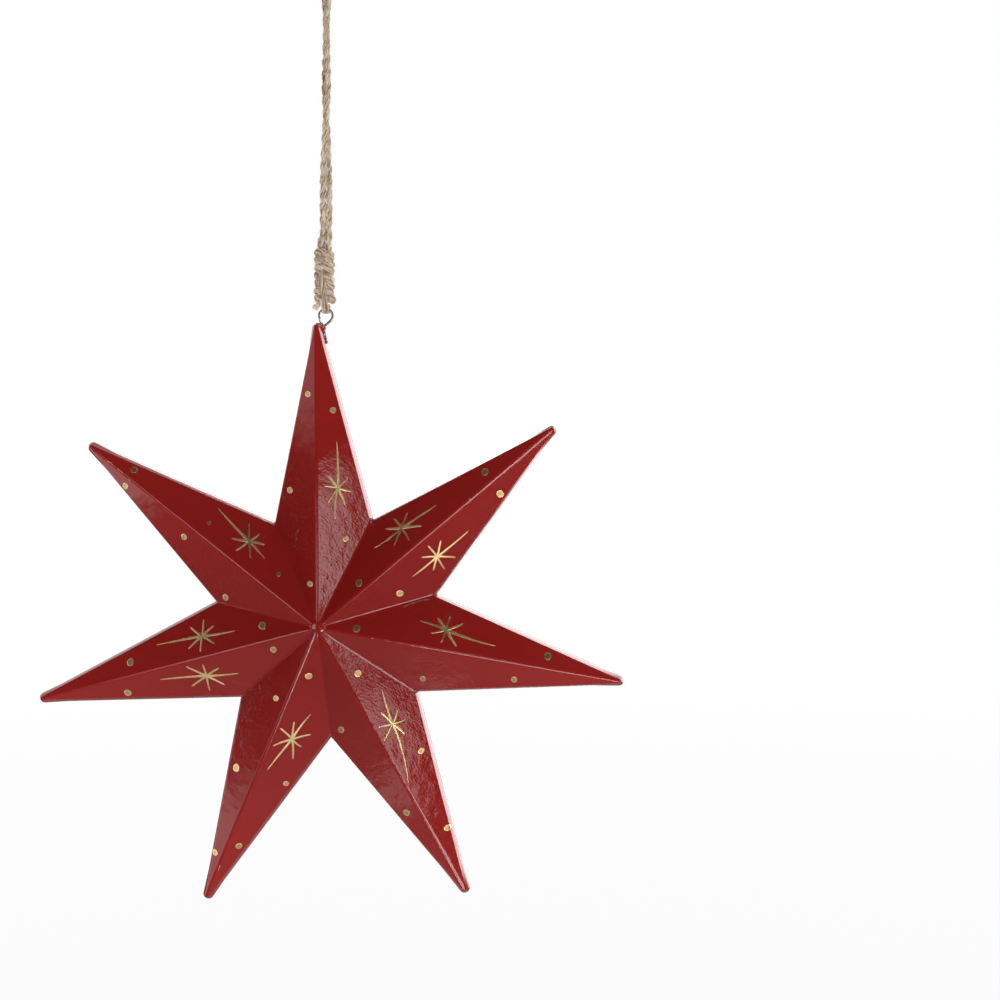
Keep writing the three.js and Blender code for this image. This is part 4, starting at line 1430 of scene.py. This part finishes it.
# Dots as x, z and share of the usual radius
DOTS = (
    (-4.5, 113.9, 0.89), (7.5, 105.6, 0.89), (-15.0, 66.7, 0.84), (12.9, 41.7, 0.8),
    (-3.7, 20.8, 0.94), (19.8, 20.5, 1.0), (38.5, 14.3, 0.95), (-19.8, 25.9, 0.58),
    (-48.7, 14.8, 0.89), (-54.7, 51.8, 0.5), (-67.6, 45.4, 0.83), (-93.1, 79.5, 0.85),
    (-97.8, 71.7, 0.85), (81.7, 72.2, 1.03), (88.8, 61.1, 0.97), (-28.3, 1.3, 1.05),
    (-22.8, -10.3, 0.9), (18.2, -1.1, 0.88), (-97.1, -15.6, 1.03), (-99.7, -30.9, 1.0),
    (-6.0, -23.6, 0.87), (-23.0, -34.2, 0.84), (17.7, -23.1, 0.91), (47.7, -28.2, 0.78),
    (92.4, -30.1, 0.85), (109.3, -19.1, 0.91), (6.6, -51.8, 0.94), (45.6, -63.6, 0.8),
    (37.3, -93.5, 1.05), (57.0, -102.1, 0.91), (-46.2, -69.4, 1.1), (-22.0, -78.1, 0.71),
    (-46.5, -108.2, 0.81), (-58.8, -111.4, 0.95))
# Each star's middle, then the ends of its strokes from there, the longest first
STROKES = (
    ((9.4, 66.8), ((-0.4, 23.5), (-1.2, -15.5), (-6.3, 1.1), (6.4, -2.1), (-4.3, 6.7),
                   (4.5, 5.1), (-4.3, -7.0), (3.3, -8.7))),
    ((-35.1, 42.3), ((-16.4, 16.8), (8.2, -8.7), (-0.9, 8.4), (4.7, 3.3), (7.5, -2.1),
                     (1.4, -8.1), (-5.6, -4.5), (-8.3, 1.7))),
    ((40.1, 46.0), ((17.4, 10.8), (-13.9, -9.3), (2.8, 7.5), (-4.3, 4.8), (-8.6, 0.0),
                    (-3.4, -8.2), (4.1, -6.0), (10.2, 0.8))),
    ((57.1, 31.5), ((15.7, 12.2), (-12.5, -9.4), (2.3, 8.1), (-4.0, 5.8), (-7.6, 0.0),
                    (-2.4, -7.0), (3.1, -6.7), (8.6, -0.8))),
    ((60.3, -4.0), ((24.0, -9.0), (-12.8, 4.8), (1.9, 6.1), (8.2, 2.3), (-4.4, 5.8),
                    (-7.4, -1.2), (-2.3, -5.8), (5.1, -8.2))),
    ((32.8, -49.0), ((6.7, -29.0), (-4.8, 17.7), (2.5, 7.2), (5.9, 1.3), (5.6, -6.1),
                     (-4.0, -7.4), (-7.0, -0.6), (-5.6, 6.5))),
    ((-16.7, -55.2), ((-12.8, -14.6), (9.6, 12.2), (1.9, 9.2), (8.7, 1.5), (3.8, -4.7),
                      (-1.0, -10.5), (-8.9, -2.2), (-4.7, 6.7))),
    ((-59.8, -3.5), ((-24.3, -4.1), (17.5, 2.5), (-0.4, 7.9), (5.8, 5.0), (7.3, -3.6),
                     (0.1, -7.2), (-6.5, -6.0), (-7.0, 4.2))),
    ((-58.1, -23.1), ((-23.7, -1.3), (16.1, 0.9), (6.9, 4.0), (-0.7, 6.2), (-9.2, 5.3),
                      (-8.8, -5.4), (-0.3, -8.1), (7.9, -5.2))))


# Wear on the front, and dark dabs that darken its inner corners: dabs as (x, z, radius) and lines
GOLD_SMEARS = (
    ((-106.4, 84.5), (-103.6, 82.8)), ((-101.0, 80.5), (-97.9, 77.9)),
    ((-95.3, 75.1), (-94.2, 74.2)), ((-55.9, -117.0), (-57.2, -120.2)))
GREY_DABS = ((74.0, 59.1, 0.5),)
SCRAPE = ((39.5, 7.5), (42.8, 8.8), (46.1, 9.5), (49.0, 10.3), (52.5, 10.4))
# Dark dabs of lacquered glue that make the inner corners darker
DARK_CORNER_DABS = ((24.2, 49.4, 0.55), (25.1, 48.0, 0.35), (-24.3, 49.6, 0.4), (0.3, -54.9, 0.5),
               (-43.4, -34.3, 0.35), (43.3, -34.5, 0.4))
# Widths of a brush stroke near its start and at its end, in millimetres
LONG_STROKE = (1.4, 0.4)
SHORT_STROKE = (1.3, 0.75)
LONGER = 11  # mm, from which a stroke is a long one
OVERLAP = 0.05  # share of a stroke that reaches back past the star's middle
WEAR_THICKNESS = 0.06 * MM
BACK_TURN = 2  # points by which the marks on the back are turned
CLEAR_OF_FACE = 60 * MM
# Share of a dot's radius and of its paint's thickness, and how thick it looks, from its middle out
DOT_ROWS = ((0.3, 0.55, 0.15), (0.6, 0.6, 0.3), (0.8, 1.0, 0.9), (0.93, 0.8, 1.0),
            (1.0, 0.0, 0.6), (0.97, -0.4, 0.5))
DOT_SIDES = 20
STROKE_SIDES = 8
STROKE_STEP = 0.9 * MM


class Paint:
    """Dabs of thick paint, gathered as one mesh that lies on a face."""

    def __init__(self, half, place, side, thickness, seed):
        back = place.inverted()
        vertices = [back @ v.co for v in half.data.vertices]
        polygons = [tuple(p.vertices) for p in half.data.polygons]
        self.skin = BVHTree.FromPolygons(vertices, polygons)
        self.side = side
        self.thickness = thickness
        self.chance = random.Random(seed)
        self.vertices, self.faces, self.thick = [], [], []

    def on_face(self, x, z, height):
        """The spot at a height over the face."""
        start = Vector((x, self.side * CLEAR_OF_FACE, z))
        spot, normal, _, _ = self.skin.ray_cast(start, Vector((0, -self.side, 0)))
        if spot is None:
            raise ValueError(f"a painted mark at {x:.4f}, {z:.4f} is off the star")
        return spot + normal * height

    def rings(self, rows, caps):
        """Joins rows of (x, z, height, thick) into a closed skin, with a cap point at each end."""
        first = len(self.vertices)
        count = len(rows[0])
        for x, z, height, thick in [p for row in rows for p in row] + list(caps):
            self.vertices.append(self.on_face(x, z, height))
            self.thick.append(thick)
        start, end = len(self.vertices) - 2, len(self.vertices) - 1
        for r in range(len(rows) - 1):
            for i in range(count):
                j = (i + 1) % count
                low, high = first + r * count, first + (r + 1) * count
                self.faces.append((low + i, low + j, high + j, high + i))
        last = first + (len(rows) - 1) * count
        for i in range(count):
            j = (i + 1) % count
            self.faces.append((start, first + j, first + i))
            self.faces.append((end, last + i, last + j))

    def dot(self, x, z, radius):
        """A round dab, thin in its middle and raised at its edge."""
        turn = self.chance.uniform(0, TURN)
        oval = self.chance.uniform(0.88, 1.0)
        radius *= self.chance.uniform(0.93, 1.07)
        lumps = [self.chance.uniform(0.95, 1.05) for _ in range(DOT_SIDES)]
        rows = []
        for share, height, thick in DOT_ROWS:
            row = []
            for i, lump in enumerate(lumps):
                angle = TURN * i / DOT_SIDES
                a, b = share * radius * math.cos(angle), share * radius * oval * math.sin(angle)
                grown = 1 + (lump - 1) * share**3
                row.append((x + grown * (a * math.cos(turn) - b * math.sin(turn)),
                            z + grown * (a * math.sin(turn) + b * math.cos(turn)),
                            height * self.thickness, thick))
            rows.append(row)
        self.rings(rows, ((x, z, 0.5 * self.thickness, 0.1), (x, z, -0.4 * self.thickness, 0.5)))

    def stroke(self, start, end, wide, narrow, level):
        """A brush stroke from start to end, widest near its start."""
        (x0, z0), (x1, z1) = start, end
        length = math.hypot(x1 - x0, z1 - z0)
        along = ((x1 - x0) / length, (z1 - z0) / length)
        bow = self.chance.uniform(-0.04, 0.04) * length
        steps = max(6, round(length / STROKE_STEP))
        rows = []
        for i in range(steps + 1):
            t = i / steps
            body = wide + (narrow - wide) * t
            ends = min(1.0, math.sqrt(t * length / (1.2 * wide) + 0.02),
                       math.sqrt((1 - t) * length / (0.9 * narrow) + 0.02))
            half = 0.5 * body * ends * self.chance.uniform(0.86, 1.12)
            shift = bow * 4 * t * (1 - t)
            cx = x0 + (x1 - x0) * t - along[1] * shift
            cz = z0 + (z1 - z0) * t + along[0] * shift
            row = []
            for j in range(STROKE_SIDES):
                angle = TURN * (j + 0.5) / STROKE_SIDES
                out, up = math.cos(angle), math.sin(angle)
                height = (up * 0.9 * ends + level if up > 0 else -0.4) * self.thickness
                row.append((cx - along[1] * half * out, cz + along[0] * half * out, height,
                            0.35 + 0.65 * abs(up) * (1 - 0.5 * t)))
            rows.append(row)
        self.rings(rows, ((x0, z0, 0.1 * self.thickness, 0.5), (x1, z1, 0.1 * self.thickness, 0.3)))

    def finish(self, name, material, place):
        """Sets all the dabs on the star as one piece."""
        obj = mesh_piece(name, self.vertices, self.faces, material)
        held = obj.data.attributes.new("thick", "FLOAT", "POINT")
        held.data.foreach_set("value", self.thick)
        work = bmesh.new()
        work.from_mesh(obj.data)
        bmesh.ops.recalc_face_normals(work, faces=work.faces)
        work.to_mesh(obj.data)
        work.free()
        return put_on_star(obj, place, "red_lacquer")


class ORNAMENT_OT_gold_marks(bpy.types.Operator):
    """Paints the gold marks on both faces, wears the front and darkens its inner corners"""

    bl_idname = "ornament.gold_marks"
    bl_label = "Gold marks"

    def execute(self, context):
        look = context.scene.paint_look
        shape, place = star_and_place(context)
        gold = bronze_paint(look)
        for name, side, turned in (("front", -1, 0), ("back", 1, BACK_TURN)):
            half = bpy.data.objects[f"{name}_half"]
            paint = Paint(half, place, side, look.thickness, 17 + side)
            angle = turned * 2 * shape.half_step

            def spin(x, z):
                x, z = x * MM, z * MM
                return (x * math.cos(angle) + z * math.sin(angle),
                        z * math.cos(angle) - x * math.sin(angle))

            for x, z, share in DOTS:
                paint.dot(*spin(x, z), share * look.dot_radius)
            for middle, ends in STROKES:
                for i, end in enumerate(ends):
                    tip = (middle[0] + end[0], middle[1] + end[1])
                    back = (middle[0] - OVERLAP * end[0], middle[1] - OVERLAP * end[1])
                    wide, narrow = LONG_STROKE if math.hypot(*end) > LONGER else SHORT_STROKE
                    paint.stroke(spin(*back), spin(*tip), wide * MM, narrow * MM,
                                 0.15 + 0.1 * i)
            paint.finish(f"gold_marks_{name}", gold, place)
        front = bpy.data.objects["front_half"]
        for name, material, dabs, lines, width in (
                ("gold_scuffs", gold, (), GOLD_SMEARS, 0.3 * MM),
                ("lacquer_scrape", scraped_lacquer(), GREY_DABS, (SCRAPE,), 0.8 * MM),
                # These dark dabs of lacquered glue darken the inner corners
                ("dirt_in_corners", glue_material(), DARK_CORNER_DABS, (), None)):
            wear = Paint(front, place, -1, WEAR_THICKNESS, 5)
            for x, z, radius in dabs:
                wear.dot(x * MM, z * MM, radius * MM)
            for line in lines:
                for start, end in zip(line, line[1:]):
                    wear.stroke([c * MM for c in start], [c * MM for c in end], width,
                                0.25 * MM, 0.2)
            wear.finish(name, material, place)
        return {"FINISHED"}


# Studio

CAMERA_SPOT = (109.5, -595.7, -292.5)  # mm
CAMERA_WAY = (-0.0375, 0.9992, 0.0107)
FOCAL = 1.2  # of the picture's width
WHITE = (1.0, 1.0, 1.0)
FLECK = 25 * MM  # across a fleck of the floor's paper
FLOOR_HALF = 30.0  # metres from the middle of the floor to its edge
FLOOR_WHITE = 0.965  # how white the near floor is, under its shadow
FADE_FROM, FADE_TO = 2.5, 7.0  # metres, between which it goes all white
OVERHEAD = 0.4  # how much of a reflection's look upwards counts as a look backwards
DARK_TO, WHITE_FROM = 0.42, 0.62  # of such a look back, between which the room goes white
LAMP_EDGE = 0.16  # share of a lamp over which its light fades to its edge
# Name, place from the star's middle, width, height, radiance
LAMPS = (
    ("front_left_softbox", (-0.70, -1.08, 0.04), 0.50, 0.86, 3.6),
    ("low_softbox", (0.35, -1.03, -0.72), 0.46, 0.38, 11.4),
    ("low_right_softbox", (0.93, -0.84, -0.37), 0.60, 0.56, 7.6),
    ("upper_front_softbox", (0.46, -1.17, 0.34), 0.18, 0.18, 5.0),
    ("right_upper_panel", (1.04, -0.77, 0.32), 0.27, 0.34, 3.4),
    ("right_lower_panel", (1.07, -0.73, 0.02), 0.27, 0.22, 2.9),
    ("left_wall_panel", (-1.25, 0.14, 0.0), 0.6, 1.2, 3.2),
    ("left_edge_panel", (-1.16, -0.56, -0.17), 0.16, 0.24, 2.6),
    ("left_upper_panel", (-1.17, -0.25, 0.52), 0.36, 0.36, 0.8),
    ("left_lower_panel", (-1.21, -0.22, -0.35), 0.34, 0.40, 1.1),
    ("low_left_panel", (-0.74, -0.18, -1.05), 0.30, 0.32, 0.8),
    ("floor_glow", (-0.22, 0.05, -0.93), 0.5, 1.25, 0.8),
    ("lit_backdrop", (0.50, 1.34, 0.33), 2.8, 2.3, 4.4),
)


class ORNAMENT_OT_studio(bpy.types.Operator):
    """Sets the camera, the soft lamps, the world and the pale floor"""

    bl_idname = "ornament.studio"
    bl_label = "Studio"

    def execute(self, context):
        setup = context.scene.studio_setup
        scene = context.scene
        camera = bpy.data.cameras.new("camera")
        camera.sensor_width = 36.0
        camera.lens = FOCAL * camera.sensor_width
        camera.clip_start = 0.01
        camera.clip_end = 60.0
        view = show("camera", camera)
        view.location = Vector(CAMERA_SPOT) * MM
        view.rotation_euler = Vector(CAMERA_WAY).to_track_quat("-Z", "Y").to_euler()
        scene.camera = view
        for name, place, width, height, radiance in LAMPS:
            lamp = bpy.data.lights.new(name, "AREA")
            lamp.shape = "RECTANGLE"
            lamp.size, lamp.size_y = width, height
            lamp.energy = radiance * setup.key * math.pi * width * height
            self.fade(lamp)
            held = show(name, lamp)
            held.visible_camera = False
            held.location = STAR_MIDDLE + Vector(place)
            held.rotation_euler = Vector(place).to_track_quat("Z", "Y").to_euler()
        self.world(scene, setup)
        self.floor(setup)
        scene.view_settings.view_transform = "Standard"
        return {"FINISHED"}

    def fade(self, lamp):
        """Lets a lamp's light fade toward its edges, as a diffuser does."""
        tree = emptied_tree(lamp)
        spot = node(tree, "ShaderNodeNewGeometry").outputs["Parametric"]
        parts = node(tree, "ShaderNodeSeparateXYZ", {0: spot}).outputs
        level = 1.0
        for part in parts[:2]:
            centred = node(tree, "ShaderNodeMath", {0: part, 1: 0.5}, operation="SUBTRACT")
            off = node(tree, "ShaderNodeMath", {0: centred}, operation="ABSOLUTE")
            edge = node(tree, "ShaderNodeMapRange", {0: off, 1: 0.5, 2: 0.5 - LAMP_EDGE},
                        interpolation_type="SMOOTHSTEP")
            level = node(tree, "ShaderNodeMath", {0: level, 1: edge}, operation="MULTIPLY")
        light = node(tree, "ShaderNodeEmission", {"Strength": level})
        node(tree, "ShaderNodeOutputLight", {"Surface": light})

    def world(self, scene, setup):
        """White to the camera and through glass. Glossy surfaces see it behind and above the
        object and a dark room in front, and matt ones an even light."""
        scene.world = bpy.data.worlds.new("studio_room")
        tree = emptied_tree(scene.world)
        rays = node(tree, "ShaderNodeLightPath").outputs
        way = node(tree, "ShaderNodeTexCoord").outputs["Generated"]
        parts = node(tree, "ShaderNodeSeparateXYZ", {0: way}).outputs
        above = node(tree, "ShaderNodeMath", {0: parts["Z"], 1: 0.0}, operation="MAXIMUM")
        depth = node(tree, "ShaderNodeMath", {0: above, 1: OVERHEAD, 2: parts["Y"]},
                     operation="MULTIPLY_ADD")
        behind = node(tree, "ShaderNodeMapRange", {0: depth, 1: DARK_TO, 2: WHITE_FROM})
        glossy = node(tree, "ShaderNodeMath", {0: rays["Is Glossy Ray"], 1: behind},
                      operation="MULTIPLY")
        seen = node(tree, "ShaderNodeMath", {0: rays["Is Camera Ray"],
                                             1: rays["Is Transmission Ray"]}, operation="MAXIMUM")
        bright = node(tree, "ShaderNodeMath", {0: seen, 1: glossy}, operation="MAXIMUM")
        known = node(tree, "ShaderNodeMath", {0: seen, 1: rays["Is Glossy Ray"]},
                     operation="MAXIMUM")
        matt = node(tree, "ShaderNodeMath", {0: 1.0, 1: known}, operation="SUBTRACT")
        level = node(tree, "ShaderNodeMath", {0: matt, 1: setup.ambient, 2: bright},
                     operation="MULTIPLY_ADD")
        light = node(tree, "ShaderNodeBackground", {"Color": WHITE, "Strength": level})
        node(tree, "ShaderNodeOutputWorld", {"Surface": light})

    def floor(self, setup):
        """Pale seamless floor, mostly white to the camera, that still takes a soft shadow."""
        corners = [(x * FLOOR_HALF, y * FLOOR_HALF, -setup.floor_drop)
                   for x, y in ((-1, -1), (1, -1), (1, 1), (-1, 1))]
        material, tree, place = material_start("pale_paper_sweep")
        floor = mesh_piece("floor", corners, [(0, 1, 2, 3)], material)
        rays = node(tree, "ShaderNodeLightPath").outputs
        fleck = node(tree, "ShaderNodeTexNoise", {"Vector": place, "Scale": 1 / FLECK})
        paper = node(tree, "ShaderNodeMix", {
            0: fleck, 6: linear("#7F7F7F"), 7: linear("#868686")}, data_type="RGBA")
        matt = node(tree, "ShaderNodeBsdfDiffuse", {"Color": paper.outputs[2]})
        white = node(tree, "ShaderNodeEmission", {"Color": WHITE})
        seen = node(tree, "ShaderNodeMath", {0: rays["Is Camera Ray"],
                                             1: rays["Is Transmission Ray"]}, operation="MAXIMUM")
        away = node(tree, "ShaderNodeVectorMath", {0: place}, operation="LENGTH")
        far = node(tree, "ShaderNodeMapRange", {
            0: away.outputs["Value"], 1: FADE_FROM, 2: FADE_TO, 3: FLOOR_WHITE, 4: 1.0})
        share = node(tree, "ShaderNodeMath", {0: seen, 1: far}, operation="MULTIPLY")
        both = node(tree, "ShaderNodeMixShader", {0: share, 1: matt, 2: white})
        node(tree, "ShaderNodeOutputMaterial", {"Surface": both})


class ORNAMENT_PT_star(bpy.types.Panel):
    """Lists the sizes and the pieces"""

    bl_idname = "ORNAMENT_PT_star"
    bl_label = "Paper star"
    bl_space_type = "VIEW_3D"
    bl_region_type = "UI"
    bl_category = "Star"

    def draw(self, context):
        for label in SETTINGS:
            group = getattr(context.scene, label)
            box = self.layout.box()
            for name in group.__annotations__:
                box.prop(group, name)
        for operator in OPERATORS:
            self.layout.operator(operator.bl_idname)


SETTINGS = {"star_sizes": StarSizes, "lacquer_look": LacquerLook, "paint_look": PaintLook,
            "wire_sizes": WireSizes, "twine_sizes": TwineSizes, "studio_setup": StudioSetup}
OPERATORS = (ORNAMENT_OT_studio, ORNAMENT_OT_twine_loop, ORNAMENT_OT_knot, ORNAMENT_OT_bight,
             ORNAMENT_OT_star_halves, ORNAMENT_OT_seam, ORNAMENT_OT_wire_eye,
             ORNAMENT_OT_gold_marks)


def register():
    for made in (*SETTINGS.values(), *OPERATORS, ORNAMENT_PT_star):
        bpy.utils.register_class(made)
    for label, group in SETTINGS.items():
        setattr(bpy.types.Scene, label, PointerProperty(type=group))


def unregister():
    for label in SETTINGS:
        delattr(bpy.types.Scene, label)
    for made in (*SETTINGS.values(), *OPERATORS, ORNAMENT_PT_star):
        bpy.utils.unregister_class(made)


def main():
    register()
    for operator in OPERATORS:
        group, name = operator.bl_idname.split(".")
        getattr(getattr(bpy.ops, group), name)()


if __name__ == "__main__":
    main()
